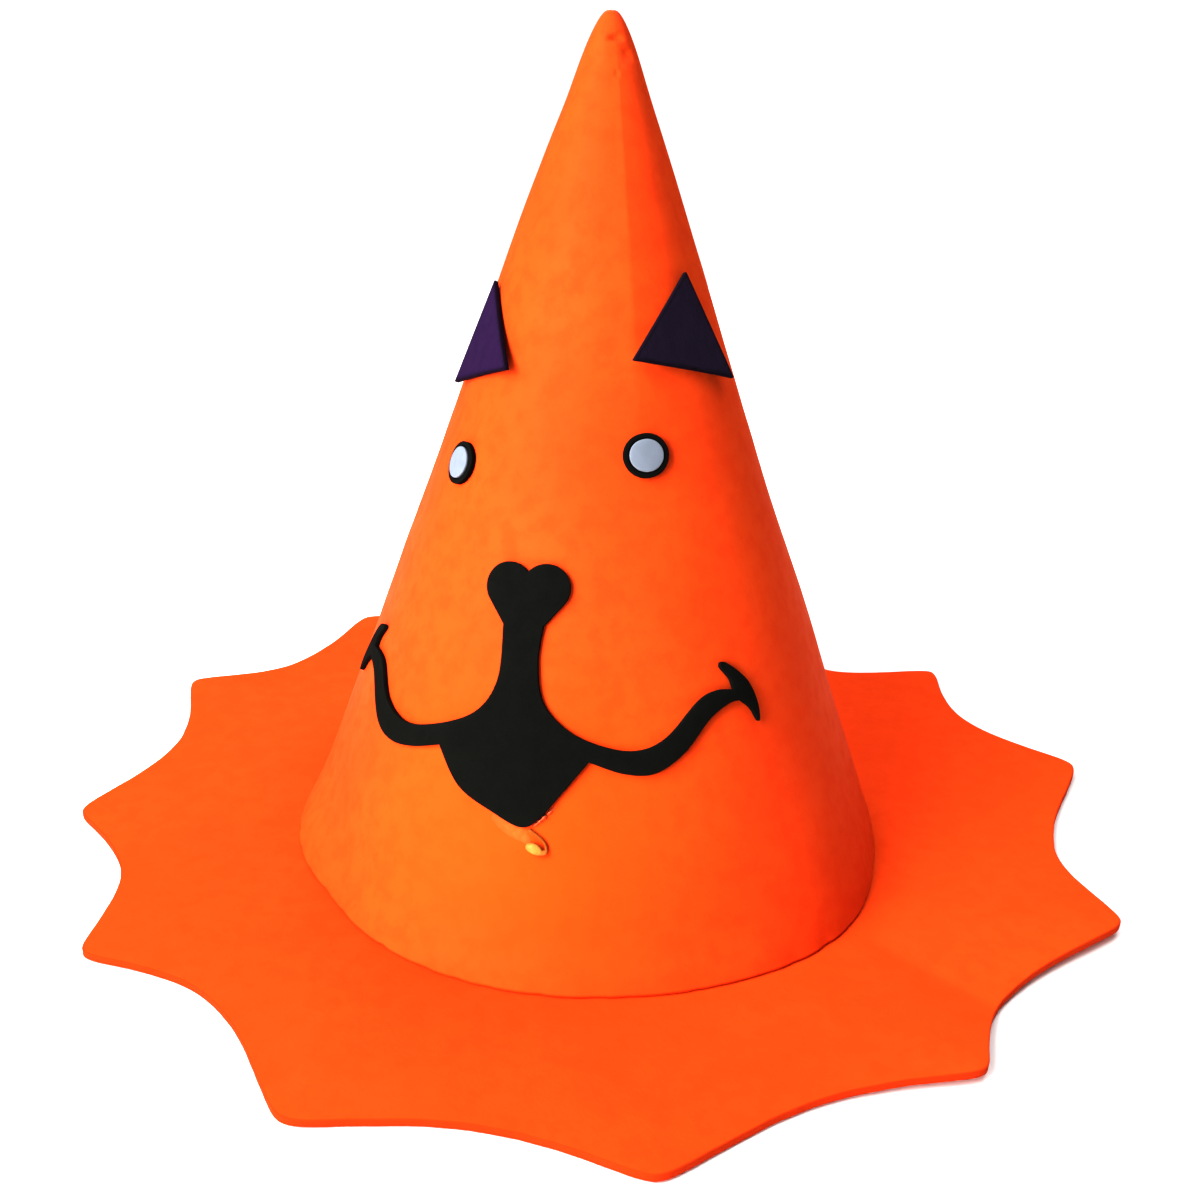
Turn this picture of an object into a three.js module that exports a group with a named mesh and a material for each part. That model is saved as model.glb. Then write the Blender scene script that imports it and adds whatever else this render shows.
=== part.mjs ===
// Pumpkin hat: a pointed felt cone on a flat brim with twelve points, and a felt face glued on its front.
// Millimetres, +Z up. The brim lies on z = 0 and the face looks along -Y.
// Azimuths are in degrees from the front (-Y) toward +X.

import * as THREE from "three";
import { TessellateModifier } from "three/addons/modifiers/TessellateModifier.js";
import { mergeVertices } from "three/addons/utils/BufferGeometryUtils.js";

const SEAT_GAP = 0.3;

// Felt thicknesses.
const BRIM_FELT = 2.2;
const CROWN_FELT = 2.2;
const FACE_FELT = 1.4;
const EYE_FELT = 1.5;

// Crown: a cone over a rounded-oval section, cut off and rounded below its virtual apex.
const APEX_HEIGHT = 253.7;
const TIP_HEIGHT = 244.2;
const BASE_HALF_LENGTH = 107;
const BASE_HALF_WIDTH = 92.4;
const BASE_SQUARENESS = 2.31;
const LONG_AXIS_AZIMUTH = 25;
const CROWN_BASE = BRIM_FELT + SEAT_GAP;
const CROWN_SHIFT_X = -0.5;
const CROWN_SHIFT_Y = -0.54;
const TIP_ROUND_HEIGHT = 16;
const TIP_ROUND_POWER = 3.6;
const TIP_BLUNTNESS = 0.3;

// Folds, bulges and dents of the crown wall, one row each.
// az and z: the middle; half: half-width in degrees; above and below: reach along z;
// push: outward share of the local radius; sharp: true for a creased ridge.
const CROWN_FOLDS = [
  { name: "front crease", az: 31, z: 205, half: 46, above: 60, below: 85, push: 0.075, sharp: true },
  { name: "back crease", az: 211, z: 205, half: 46, above: 60, below: 85, push: 0.075, sharp: true },
  { name: "front right corner", az: 62, z: 0, half: 22, above: 70, below: 40, push: 0.022, sharp: false },
  { name: "front flare", az: 24, z: 0, half: 40, above: 15, below: 40, push: 0.024, sharp: false },
  { name: "front left flare", az: -20, z: 0, half: 32, above: 16, below: 40, push: 0.016, sharp: false },
  { name: "left flare", az: -52, z: 0, half: 25, above: 22, below: 40, push: 0.055, sharp: false },
  { name: "left bulge", az: -77, z: 205, half: 45, above: 20, below: 80, push: 0.034, sharp: false },
  { name: "right hollow", az: 115, z: 140, half: 45, above: 45, below: 75, push: -0.022, sharp: false },
  { name: "tip crimp", az: 45, z: 234, half: 42, above: 5, below: 5, push: -0.05, sharp: false },
];

// Brim: one row for each point and the valley that follows it toward +X.
const BRIM_POINTS = [
  { tipAz: -6, tipRadius: 169.0, valleyAz: 10, valleyRadius: 156.2 },
  { tipAz: 24.5, tipRadius: 168.8, valleyAz: 41, valleyRadius: 154.6 },
  { tipAz: 55.5, tipRadius: 166.2, valleyAz: 66, valleyRadius: 153.2 },
  { tipAz: 84, tipRadius: 170.0, valleyAz: 97.5, valleyRadius: 151.1 },
  { tipAz: 116.5, tipRadius: 171.6, valleyAz: 131.5, valleyRadius: 150.9 },
  { tipAz: 144, tipRadius: 166.6, valleyAz: 155.5, valleyRadius: 134 },
  { tipAz: 174, tipRadius: 169.0, valleyAz: 189, valleyRadius: 152 },
  { tipAz: 204, tipRadius: 169.0, valleyAz: 219.5, valleyRadius: 151.5 },
  { tipAz: 235, tipRadius: 168.0, valleyAz: 252, valleyRadius: 150.0 },
  { tipAz: 264.5, tipRadius: 170.2, valleyAz: 280.5, valleyRadius: 149.7 },
  { tipAz: 297, tipRadius: 166.3, valleyAz: 310, valleyRadius: 152.4 },
  { tipAz: 323, tipRadius: 168.0, valleyAz: 336.5, valleyRadius: 149.6 },
];
const TIP_SOFTNESS = 0.1;
const OPENING_INSET = 3.2;

// Face pieces lie in the flat pattern of the cone: x across to the right of the face's middle line,
// y upward from the virtual apex, so every y is negative.
const EARS = [
  { side: "left", x: -27.4, y: -99.9, turn: 0.8, lean: -3.4, base: 36.8, height: 28.4, color: 0x3a1e55 },
  { side: "right", x: 34.9, y: -92, turn: 6.4, lean: -0.5, base: 35.4, height: 26.9, color: 0x1a1626 },
];
const EAR_CORNER = 1;
const EAR_STIFFNESS = 0.85;

const EYES = [
  { side: "left", x: -27.5, y: -134.4 },
  { side: "right", x: 28.6, y: -126.1 },
];
const EYE_DISC_RADIUS = 6.1;
const EYE_WHITE_RADIUS = 4.5;
const EYE_WHITE_FELT = 1.1;
const EYE_POCKET_FLOOR = 0.6;
const EYE_SEGMENTS = 28;

// Muzzle, cut from one felt. Its nose has two round lobes that run straight to the corners of the neck.
const NOSE_LOBES = {
  left: { x: -2.2, y: -166.1, radius: 6.5 },
  right: { x: 8.1, y: -165.3, radius: 6.5 },
};
const LOBE_STEPS = 16;

// The rest of the muzzle's edge, from the right of the neck clockwise, in stretches between its corners.
const MUZZLE_EDGE = {
  rightSmileTop: [
    { x: 9, y: -175.5 }, { x: 9, y: -185 }, { x: 12, y: -195.5 }, { x: 20, y: -202 },
    { x: 30, y: -204.7 }, { x: 39, y: -204.3 }, { x: 46, y: -199.7 }, { x: 53, y: -189.2 },
    { x: 58, y: -185.5 }, { x: 63, y: -184.5 },
  ],
  rightTick: [
    { x: 63, y: -184.5 }, { x: 61.5, y: -181.8 }, { x: 58, y: -179 }, { x: 59.5, y: -177.6 },
    { x: 67, y: -181.2 }, { x: 71.5, y: -186.8 }, { x: 72.8, y: -192 }, { x: 69.5, y: -188.9 },
    { x: 65.7, y: -187.1 },
  ],
  rightSmileBottom: [
    { x: 65.7, y: -187.1 }, { x: 62, y: -188.6 }, { x: 57, y: -193.5 }, { x: 51.5, y: -203 },
    { x: 44.5, y: -209.6 }, { x: 36, y: -211 }, { x: 26.3, y: -209.3 },
  ],
  chin: [
    { x: 26.3, y: -209.3 }, { x: 21, y: -218 }, { x: 15.5, y: -226.5 }, { x: 11, y: -229.3 },
    { x: 3, y: -226.8 }, { x: -8, y: -221.9 }, { x: -16.2, y: -212.2 },
  ],
  leftSmileBottom: [
    { x: -16.2, y: -212.2 }, { x: -27, y: -214.8 }, { x: -37, y: -214.8 }, { x: -46, y: -210.6 },
    { x: -57, y: -198.2 }, { x: -66.5, y: -193.8 },
  ],
  leftTick: [
    { x: -66.5, y: -193.8 }, { x: -74, y: -196.3 }, { x: -79.3, y: -199.3 }, { x: -78.9, y: -195.3 },
    { x: -70.6, y: -187.6 }, { x: -63.5, y: -183.8 }, { x: -57.8, y: -184.3 }, { x: -63, y: -187.9 },
    { x: -64.2, y: -190.5 },
  ],
  leftSmileTop: [
    { x: -64.2, y: -190.5 }, { x: -52.5, y: -193.7 }, { x: -43, y: -203.8 }, { x: -31.5, y: -208.6 },
    { x: -18.5, y: -206.8 }, { x: -6.5, y: -201.2 }, { x: -1.3, y: -191.5 }, { x: -2, y: -176.5 },
  ],
};
const EDGE_STEPS_PER_ROW = 3;

// Light: a resin drop with a neck and a thin lead that curves up to the chin.
const LIGHT_PATH = [
  { x: 13.4, y: -233.7 }, { x: 15.6, y: -234.2 }, { x: 17.8, y: -235 },
  { x: 18.9, y: -234.2 }, { x: 17.9, y: -232.3 }, { x: 15.9, y: -230.9 }, { x: 13.4, y: -229.7 },
];
const LIGHT_PROFILE = [
  { along: 0, radius: 0 },
  { along: 0.016, radius: 0.8 },
  { along: 0.064, radius: 1.2 },
  { along: 0.16, radius: 1.45 },
  { along: 0.255, radius: 1.3 },
  { along: 0.327, radius: 0.8 },
  { along: 0.4, radius: 0.7 },
  { along: 0.44, radius: 0.4 },
  { along: 0.72, radius: 0.4 },
  { along: 1, radius: 0.4 },
  { along: 1, radius: 0 },
];
const LIGHT_SEAT = 1.5;
const LEAD_SEAT = 0.45;
const LEAD_FROM = 0.32;
const LEAD_TO = 0.48;

// Mesh fineness. The crown's rings crowd toward its base and tip, the brim's stations toward its points.
const CROWN_SEGMENTS = 72;
const OUTSIDE_RINGS = 22;
const INSIDE_RINGS = 13;
const RING_CROWDING = 0.7;
const BRIM_STEPS_PER_SIDE = 8;
const BRIM_CROWDING = 1.5;
const FACE_EDGE_LENGTH = 9;
const FACE_SPLITS = 8;
const CORNER_STEPS = 6;
const LIGHT_SEGMENTS = 14;
const FLAT_STEPS = 1440;
const WELD_DISTANCE = 1e-3;

// Depths below the tip of the rings that round it. The wall's own rings end at the first.
const TIP_RING_DEPTHS = [9, 4.6, 2.6, 1.2, 0.3, 0];

// Radii that mark the points of the crown's lathe profile before they move out to its wall.
const ON_AXIS = 0;
const ON_INSIDE = 1;
const ON_OUTSIDE = 2;

const FELT_ORANGE = 0xf0651c;
const FELT_BLACK = 0x1a1a18;
const EYE_PALE = 0xc0cfdf;
const LIGHT_YELLOW = 0xffdf60;
const FELT_ROUGHNESS = 0.95;
const PALE_ROUGHNESS = 0.8;
const RESIN_ROUGHNESS = 0.3;

const radians = THREE.MathUtils.degToRad;
const bump = (share) => (Math.abs(share) >= 1 ? 0 : (1 - share * share) ** 2);
const ridge = (share) => (Math.abs(share) >= 1 ? 0 : (1 - Math.abs(share)) ** 2);
const wrapDegrees = (angle) => THREE.MathUtils.euclideanModulo(angle + 180, 360) - 180;

// Radius of the plain oval section at z = 0.
function ovalRadius(azimuth) {
  const turn = radians(azimuth - LONG_AXIS_AZIMUTH);
  const lengthwise = Math.abs(Math.cos(turn) / BASE_HALF_LENGTH) ** BASE_SQUARENESS;
  const crosswise = Math.abs(Math.sin(turn) / BASE_HALF_WIDTH) ** BASE_SQUARENESS;
  return (lengthwise + crosswise) ** (-1 / BASE_SQUARENESS);
}

// Share by which the folds push the crown wall outward.
function foldPush(azimuth, z) {
  return CROWN_FOLDS.reduce((sum, fold) => {
    const across = wrapDegrees(azimuth - fold.az) / fold.half;
    const along = (z - fold.z) / (z > fold.z ? fold.above : fold.below);
    return sum + fold.push * (fold.sharp ? ridge(across) : bump(across)) * bump(along);
  }, 0);
}

// Outside radius of the crown, rounded off toward the tip.
function crownRadius(azimuth, z) {
  const cone = (APEX_HEIGHT - z) / APEX_HEIGHT;
  const below = Math.max(0, TIP_HEIGHT - z);
  const inward = Math.max(0, 1 - below / TIP_ROUND_HEIGHT) ** TIP_ROUND_POWER;
  const rounding = (1 - inward) ** TIP_BLUNTNESS;
  return ovalRadius(azimuth) * cone * rounding * (1 + foldPush(azimuth, z));
}

function polar(radius, azimuth, z) {
  return new THREE.Vector3(radius * Math.sin(radians(azimuth)), -radius * Math.cos(radians(azimuth)), z);
}

// A point of the crown wall, set in from its outside.
function crownPoint(azimuth, z, inset = 0) {
  const point = polar(crownRadius(azimuth, z) - inset, azimuth, z);
  return point.add(new THREE.Vector3(CROWN_SHIFT_X, CROWN_SHIFT_Y, 0));
}

function crownNormal(azimuth, z) {
  const around = crownPoint(azimuth + 1, z).sub(crownPoint(azimuth - 1, z));
  const upward = crownPoint(azimuth, z + 1).sub(crownPoint(azimuth, z - 1));
  return around.cross(upward).normalize();
}

// Unrolled angle of the cone at each azimuth step, from the back round to the back.
const unrolled = [0];
for (let step = 1; step <= FLAT_STEPS; step += 1) {
  const direction = (index) => {
    const azimuth = (index / FLAT_STEPS) * 360 - 180;
    return polar(ovalRadius(azimuth), azimuth, -APEX_HEIGHT).normalize();
  };
  unrolled.push(unrolled[step - 1] + direction(step).distanceTo(direction(step - 1)));
}
const unrolledFront = unrolled[FLAT_STEPS / 2];

// Azimuth and height on the crown of a point of the flat pattern.
function fromPattern(x, y) {
  const wanted = unrolledFront + Math.atan2(x, -y);
  const after = unrolled.findIndex((angle) => angle >= wanted);
  const share = (wanted - unrolled[after - 1]) / (unrolled[after] - unrolled[after - 1]);
  const azimuth = ((after - 1 + share) / FLAT_STEPS) * 360 - 180;
  const slant = Math.hypot(ovalRadius(azimuth), APEX_HEIGHT);
  return { azimuth, z: APEX_HEIGHT * (1 - Math.hypot(x, y) / slant) };
}

// A point of the flat pattern, lifted off the crown along the wall's normal.
function onCrown(x, y, lift) {
  const { azimuth, z } = fromPattern(x, y);
  return crownPoint(azimuth, z).addScaledVector(crownNormal(azimuth, z), lift);
}

// Welds a geometry and drops the triangles that closed up on an axis.
function welded(geometry) {
  const bare = new THREE.BufferGeometry();
  bare.setAttribute("position", geometry.getAttribute("position").clone());
  bare.setIndex(geometry.index ? geometry.index.clone() : null);
  const merged = mergeVertices(bare, WELD_DISTANCE);
  const kept = [];
  for (let i = 0; i < merged.index.count; i += 3) {
    const [a, b, c] = [0, 1, 2].map((corner) => merged.index.getX(i + corner));
    if (a !== b && b !== c && c !== a) kept.push(a, b, c);
  }
  merged.setIndex(kept);
  merged.computeVertexNormals();
  return merged;
}

function moved(geometry, place) {
  const position = geometry.getAttribute("position");
  const point = new THREE.Vector3();
  for (let i = 0; i < position.count; i += 1) {
    const target = place(point.fromBufferAttribute(position, i));
    position.setXYZ(i, target.x, target.y, target.z);
  }
  return welded(geometry);
}

function makeMesh(name, geometry, color, roughness) {
  const mesh = new THREE.Mesh(geometry, new THREE.MeshStandardMaterial({ color, roughness }));
  mesh.name = name;
  return mesh;
}

// Heights of the crown's rings, closer together toward the base and the tip.
function ringHeights(bottom, top, count) {
  return Array.from({ length: count }, (_, i) => {
    const share = i / (count - 1);
    const rounded = 0.5 - 0.5 * Math.cos(Math.PI * share);
    return bottom + (top - bottom) * THREE.MathUtils.lerp(share, rounded, RING_CROWDING);
  });
}

// Crown: a closed lathe profile of unit rings, moved out to the folded oval wall.
function makeCrown() {
  const wallDrop = CROWN_FELT * Math.hypot(1, APEX_HEIGHT / BASE_HALF_WIDTH);
  const wallInset = CROWN_FELT * Math.hypot(1, BASE_HALF_WIDTH / APEX_HEIGHT);
  const tipRings = TIP_RING_DEPTHS.map((depth) => TIP_HEIGHT - depth);
  const outside = [...ringHeights(CROWN_BASE, tipRings[0], OUTSIDE_RINGS), ...tipRings.slice(1)];
  const inside = ringHeights(CROWN_BASE, TIP_HEIGHT - wallDrop, INSIDE_RINGS).reverse();
  const profile = [
    ...outside.map((z) => new THREE.Vector2(z === TIP_HEIGHT ? ON_AXIS : ON_OUTSIDE, z)),
    ...inside.map((z, i) => new THREE.Vector2(i === 0 ? ON_AXIS : ON_INSIDE, z)),
    new THREE.Vector2(ON_OUTSIDE, CROWN_BASE),
  ];
  const start = radians(180 - CROWN_FOLDS[0].az);
  const geometry = new THREE.LatheGeometry(profile, CROWN_SEGMENTS, start).rotateX(Math.PI / 2);
  return moved(geometry, (point) => {
    const mark = Math.round(Math.hypot(point.x, point.y));
    const azimuth = THREE.MathUtils.radToDeg(Math.atan2(point.x, -point.y));
    if (mark === ON_AXIS) return crownPoint(azimuth, point.z, crownRadius(azimuth, point.z));
    return crownPoint(azimuth, point.z, mark === ON_OUTSIDE ? 0 : wallInset);
  });
}

// Brim edge between a tip (share 0) and a valley (share 1).
function brimFall(share) {
  const run = Math.hypot(share, TIP_SOFTNESS) - TIP_SOFTNESS;
  return (1 - run / (Math.hypot(1, TIP_SOFTNESS) - TIP_SOFTNESS)) ** 2;
}

// Stations round the brim, closer together at the tips.
function brimStations() {
  return BRIM_POINTS.flatMap((row, index) => {
    const next = BRIM_POINTS[(index + 1) % BRIM_POINTS.length];
    const nextAz = next.tipAz + (next.tipAz < row.tipAz ? 360 : 0);
    const steps = Array.from({ length: BRIM_STEPS_PER_SIDE }, (_, i) => i);
    const shares = steps.map((step) => (step / BRIM_STEPS_PER_SIDE) ** BRIM_CROWDING);
    const falling = shares.map((share) => ({
      azimuth: row.tipAz + (row.valleyAz - row.tipAz) * share,
      radius: row.valleyRadius + (row.tipRadius - row.valleyRadius) * brimFall(share),
    }));
    const rising = shares.map((share) => ({
      azimuth: nextAz + (row.valleyAz - nextAz) * share,
      radius: row.valleyRadius + (next.tipRadius - row.valleyRadius) * brimFall(share),
    }));
    const valley = { azimuth: row.valleyAz, radius: row.valleyRadius };
    return [...falling, valley, ...rising.slice(1).reverse()];
  });
}

// Brim: a closed lathe profile, its inner rings moved to the opening and its outer rings to the points.
function makeBrim() {
  const stations = brimStations();
  const profile = [
    [0, 0],
    [0.5, 0],
    [1, 0],
    [1, BRIM_FELT],
    [0.5, BRIM_FELT],
    [0, BRIM_FELT],
    [0, 0],
  ].map(([share, z]) => new THREE.Vector2(1 + share, z));
  const geometry = new THREE.LatheGeometry(profile, stations.length).rotateX(Math.PI / 2);
  return moved(geometry, (point) => {
    const share = Math.hypot(point.x, point.y) - 1;
    const turn = THREE.MathUtils.euclideanModulo(Math.atan2(point.x, -point.y) / (2 * Math.PI), 1);
    const station = stations[Math.round(turn * stations.length) % stations.length];
    const inner = crownPoint(station.azimuth, CROWN_BASE, OPENING_INSET).setZ(point.z);
    return inner.lerp(polar(station.radius, station.azimuth, point.z), share);
  });
}

// A flat cut-out of the pattern, made into felt and laid on the crown.
// stiffness: 0 follows the wall, 1 stays flat on the plane that touches it at the middle.
function laidFelt(shape, lift, thickness, stiffness, { x, y }) {
  const settings = { depth: thickness, bevelEnabled: false, curveSegments: CORNER_STEPS };
  const flat = new THREE.ExtrudeGeometry(shape, settings);
  const fine = new TessellateModifier(FACE_EDGE_LENGTH, FACE_SPLITS).modify(flat);
  const seat = onCrown(x, y, 0);
  const across = onCrown(x + 0.5, y, 0).sub(onCrown(x - 0.5, y, 0)).normalize();
  const upward = onCrown(x, y + 0.5, 0).sub(onCrown(x, y - 0.5, 0)).normalize();
  const outward = across.clone().cross(upward);
  return moved(fine, (point) => {
    const followed = onCrown(point.x, point.y, lift + point.z);
    const straight = seat
      .clone()
      .addScaledVector(across, point.x - x)
      .addScaledVector(upward, point.y - y)
      .addScaledVector(outward, lift + point.z);
    return followed.lerp(straight, stiffness);
  });
}

// Ear: a triangle with its base below and its top leaning, turned about its middle, with rounded corners.
function makeEar(row) {
  const corners = [
    new THREE.Vector2(-row.base / 2, -row.height / 3),
    new THREE.Vector2(row.base / 2, -row.height / 3),
    new THREE.Vector2(row.lean, (row.height * 2) / 3),
  ].map((corner) => corner.rotateAround(new THREE.Vector2(), radians(row.turn)));
  const middle = new THREE.Vector2(row.x, row.y);
  const shape = new THREE.Shape();
  corners.forEach((corner, index) => {
    const toward = (other) => {
      const cut = other.clone().sub(corner).setLength(EAR_CORNER);
      return cut.add(corner).add(middle);
    };
    const before = toward(corners[(index + 2) % 3]);
    const after = toward(corners[(index + 1) % 3]);
    const peak = corner.clone().add(middle);
    if (index === 0) shape.moveTo(before.x, before.y);
    else shape.lineTo(before.x, before.y);
    shape.quadraticCurveTo(peak.x, peak.y, after.x, after.y);
  });
  shape.closePath();
  return laidFelt(shape, SEAT_GAP, FACE_FELT, EAR_STIFFNESS, row);
}

// A round piece from half its profile, laid on the crown.
function makeRound(row, rows, lift) {
  const profile = rows.map(([radius, z]) => new THREE.Vector2(radius, z));
  const geometry = new THREE.LatheGeometry(profile, EYE_SEGMENTS).rotateX(Math.PI / 2);
  return moved(geometry, (point) => onCrown(row.x + point.x, row.y + point.y, lift + point.z));
}

// Black eye disc with a shallow pocket for the pale one.
function makeEyeDisc(row) {
  const pocket = EYE_WHITE_RADIUS + SEAT_GAP;
  const rows = [
    [0, 0],
    [EYE_DISC_RADIUS / 2, 0],
    [EYE_DISC_RADIUS, 0],
    [EYE_DISC_RADIUS, EYE_FELT],
    [pocket, EYE_FELT],
    [pocket, EYE_POCKET_FLOOR],
    [0, EYE_POCKET_FLOOR],
  ];
  return makeRound(row, rows, SEAT_GAP);
}

function makeEyeWhite(row) {
  const rows = [
    [0, 0],
    [EYE_WHITE_RADIUS, 0],
    [EYE_WHITE_RADIUS, EYE_WHITE_FELT],
    [EYE_WHITE_RADIUS / 2, EYE_WHITE_FELT],
    [0, EYE_WHITE_FELT],
  ];
  return makeRound(row, rows, SEAT_GAP + EYE_POCKET_FLOOR + SEAT_GAP);
}

const spline = (points) => new THREE.SplineCurve(points.map(({ x, y }) => new THREE.Vector2(x, y)));

// Angle at which a straight edge to a corner of the neck leaves a nose lobe, past the corner by side.
function leavingAngle({ x, y, radius }, corner, side) {
  const toward = Math.atan2(corner.y - y, corner.x - x);
  return toward + side * Math.acos(radius / Math.hypot(corner.x - x, corner.y - y));
}

function lobeEdge({ x, y, radius }, from, to) {
  return new THREE.EllipseCurve(x, y, radius, radius, from, to, true).getPoints(LOBE_STEPS);
}

// Muzzle: over the two nose lobes, then along a spline for each other stretch of its edge.
function makeMuzzle() {
  const { left, right } = NOSE_LOBES;
  const facing = Math.atan2(right.y - left.y, right.x - left.x);
  const notch = Math.acos(Math.hypot(right.x - left.x, right.y - left.y) / (left.radius + right.radius));
  const neck = spline([MUZZLE_EDGE.leftSmileTop.at(-1), MUZZLE_EDGE.rightSmileTop[0]]).points;
  const stretches = Object.values(MUZZLE_EDGE).flatMap((rows) => {
    const steps = (rows.length - 1) * EDGE_STEPS_PER_ROW;
    return spline(rows).getPoints(steps).slice(1);
  });
  const outline = [
    ...lobeEdge(left, leavingAngle(left, neck[0], -1), facing + notch),
    ...lobeEdge(right, facing + Math.PI - notch, leavingAngle(right, neck[1], 1)).slice(1),
    neck[1],
    ...stretches,
  ];
  return laidFelt(new THREE.Shape(outline), SEAT_GAP, FACE_FELT, 0, neck[0]);
}

// Light: a lathe bent along its path on the crown.
function makeLight() {
  const path = spline(LIGHT_PATH);
  const profile = LIGHT_PROFILE.map((row) => new THREE.Vector2(row.radius, row.along));
  const geometry = new THREE.LatheGeometry(profile, LIGHT_SEGMENTS);
  return moved(geometry, (point) => {
    const share = THREE.MathUtils.clamp(point.y, 0, 1);
    const middle = path.getPointAt(share);
    const tangent = path.getTangentAt(share);
    const thin = THREE.MathUtils.smoothstep(share, LEAD_FROM, LEAD_TO);
    const lift = SEAT_GAP + THREE.MathUtils.lerp(LIGHT_SEAT, LEAD_SEAT, thin);
    return onCrown(middle.x + tangent.y * point.x, middle.y - tangent.x * point.x, lift + point.z);
  });
}

const hat = new THREE.Group();
hat.name = "pumpkin_hat";
hat.add(makeMesh("brim", makeBrim(), FELT_ORANGE, FELT_ROUGHNESS));
hat.add(makeMesh("crown", makeCrown(), FELT_ORANGE, FELT_ROUGHNESS));
EARS.forEach((row) => {
  hat.add(makeMesh(`ear_${row.side}`, makeEar(row), row.color, FELT_ROUGHNESS));
});
EYES.forEach((row) => {
  hat.add(makeMesh(`eye_disc_${row.side}`, makeEyeDisc(row), FELT_BLACK, FELT_ROUGHNESS));
  hat.add(makeMesh(`eye_white_${row.side}`, makeEyeWhite(row), EYE_PALE, PALE_ROUGHNESS));
});
hat.add(makeMesh("muzzle", makeMuzzle(), FELT_BLACK, FELT_ROUGHNESS));
hat.add(makeMesh("light", makeLight(), LIGHT_YELLOW, RESIN_ROUGHNESS));

export default hat;
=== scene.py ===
"""Looks of the pumpkin hat: a felt cone on a twelve-pointed brim, with a glued felt face and a small light.

Sizes in the tables are millimetres and the finished meshes are metres. Azimuths are degrees from the
front (-Y) toward +X. Left and right are as seen by someone who looks at the face.
"""

import bisect
import logging
import math
import random
from dataclasses import dataclass, field, replace
from enum import Enum
from typing import Callable, Optional, Sequence

import bmesh
import bpy
from mathutils import Matrix, Vector, noise


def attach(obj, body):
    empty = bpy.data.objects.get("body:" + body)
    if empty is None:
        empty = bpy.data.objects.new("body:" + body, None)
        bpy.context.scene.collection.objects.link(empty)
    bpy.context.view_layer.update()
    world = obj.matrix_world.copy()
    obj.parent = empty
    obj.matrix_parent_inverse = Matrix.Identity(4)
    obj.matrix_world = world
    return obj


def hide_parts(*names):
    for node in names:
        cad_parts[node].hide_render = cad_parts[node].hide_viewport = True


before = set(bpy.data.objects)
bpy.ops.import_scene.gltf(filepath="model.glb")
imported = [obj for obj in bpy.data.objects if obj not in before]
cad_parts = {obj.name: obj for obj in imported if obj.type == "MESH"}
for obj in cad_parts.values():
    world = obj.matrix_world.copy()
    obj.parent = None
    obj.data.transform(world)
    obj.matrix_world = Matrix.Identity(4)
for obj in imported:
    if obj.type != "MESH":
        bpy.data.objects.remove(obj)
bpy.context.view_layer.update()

MM = 0.001
SEAT_GAP = 0.3
MERGE_DISTANCE = 1e-4
NOISE_SPAN = (0.3, 0.7)
FULL_TURN = 2 * math.pi
LOG = logging.getLogger("pumpkin_hat")

Point2 = tuple[float, float]
Colour = tuple[float, float, float]


class Slot(Enum):
    """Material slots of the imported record."""

    ORANGE = "felt_orange"
    PURPLE = "felt_purple"
    NAVY = "felt_navy"
    BLACK = "felt_black"
    PALE = "felt_pale"
    LIGHT = "light_resin"


class FoldShape(Enum):
    """How a fold of the crown fades across its width."""

    ROUND = "round"
    SHARP = "sharp"


class Side(Enum):
    """Sides of the face."""

    LEFT = "left"
    RIGHT = "right"


def bump(share: float) -> float:
    """Gives a soft hill that is 1 in the middle and 0 from -1 and 1 outward."""
    return 0.0 if abs(share) >= 1 else (1 - share * share) ** 2


def ridge(share: float) -> float:
    """Gives a hill with a sharp top, 1 in the middle and 0 from -1 and 1 outward."""
    return 0.0 if abs(share) >= 1 else (1 - abs(share)) ** 2


def ease(low: float, high: float, value: float) -> float:
    """Rises smoothly from 0 at low to 1 at high."""
    share = min(1.0, max(0.0, (value - low) / (high - low)))
    return share * share * (3 - 2 * share)


def wrap_degrees(angle: float) -> float:
    """Brings an angle between -180 and 180 degrees."""
    return (angle + 180) % 360 - 180


def azimuth_of(point: Vector) -> float:
    """Gives a point's azimuth about the Z axis in degrees."""
    return math.degrees(math.atan2(point.x, -point.y))


def polar(radius: float, azimuth: float, height: float) -> Vector:
    """Gives the point at a radius, an azimuth in degrees and a height."""
    turn = math.radians(azimuth)
    return Vector((radius * math.sin(turn), -radius * math.cos(turn), height))


# Finishes


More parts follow.
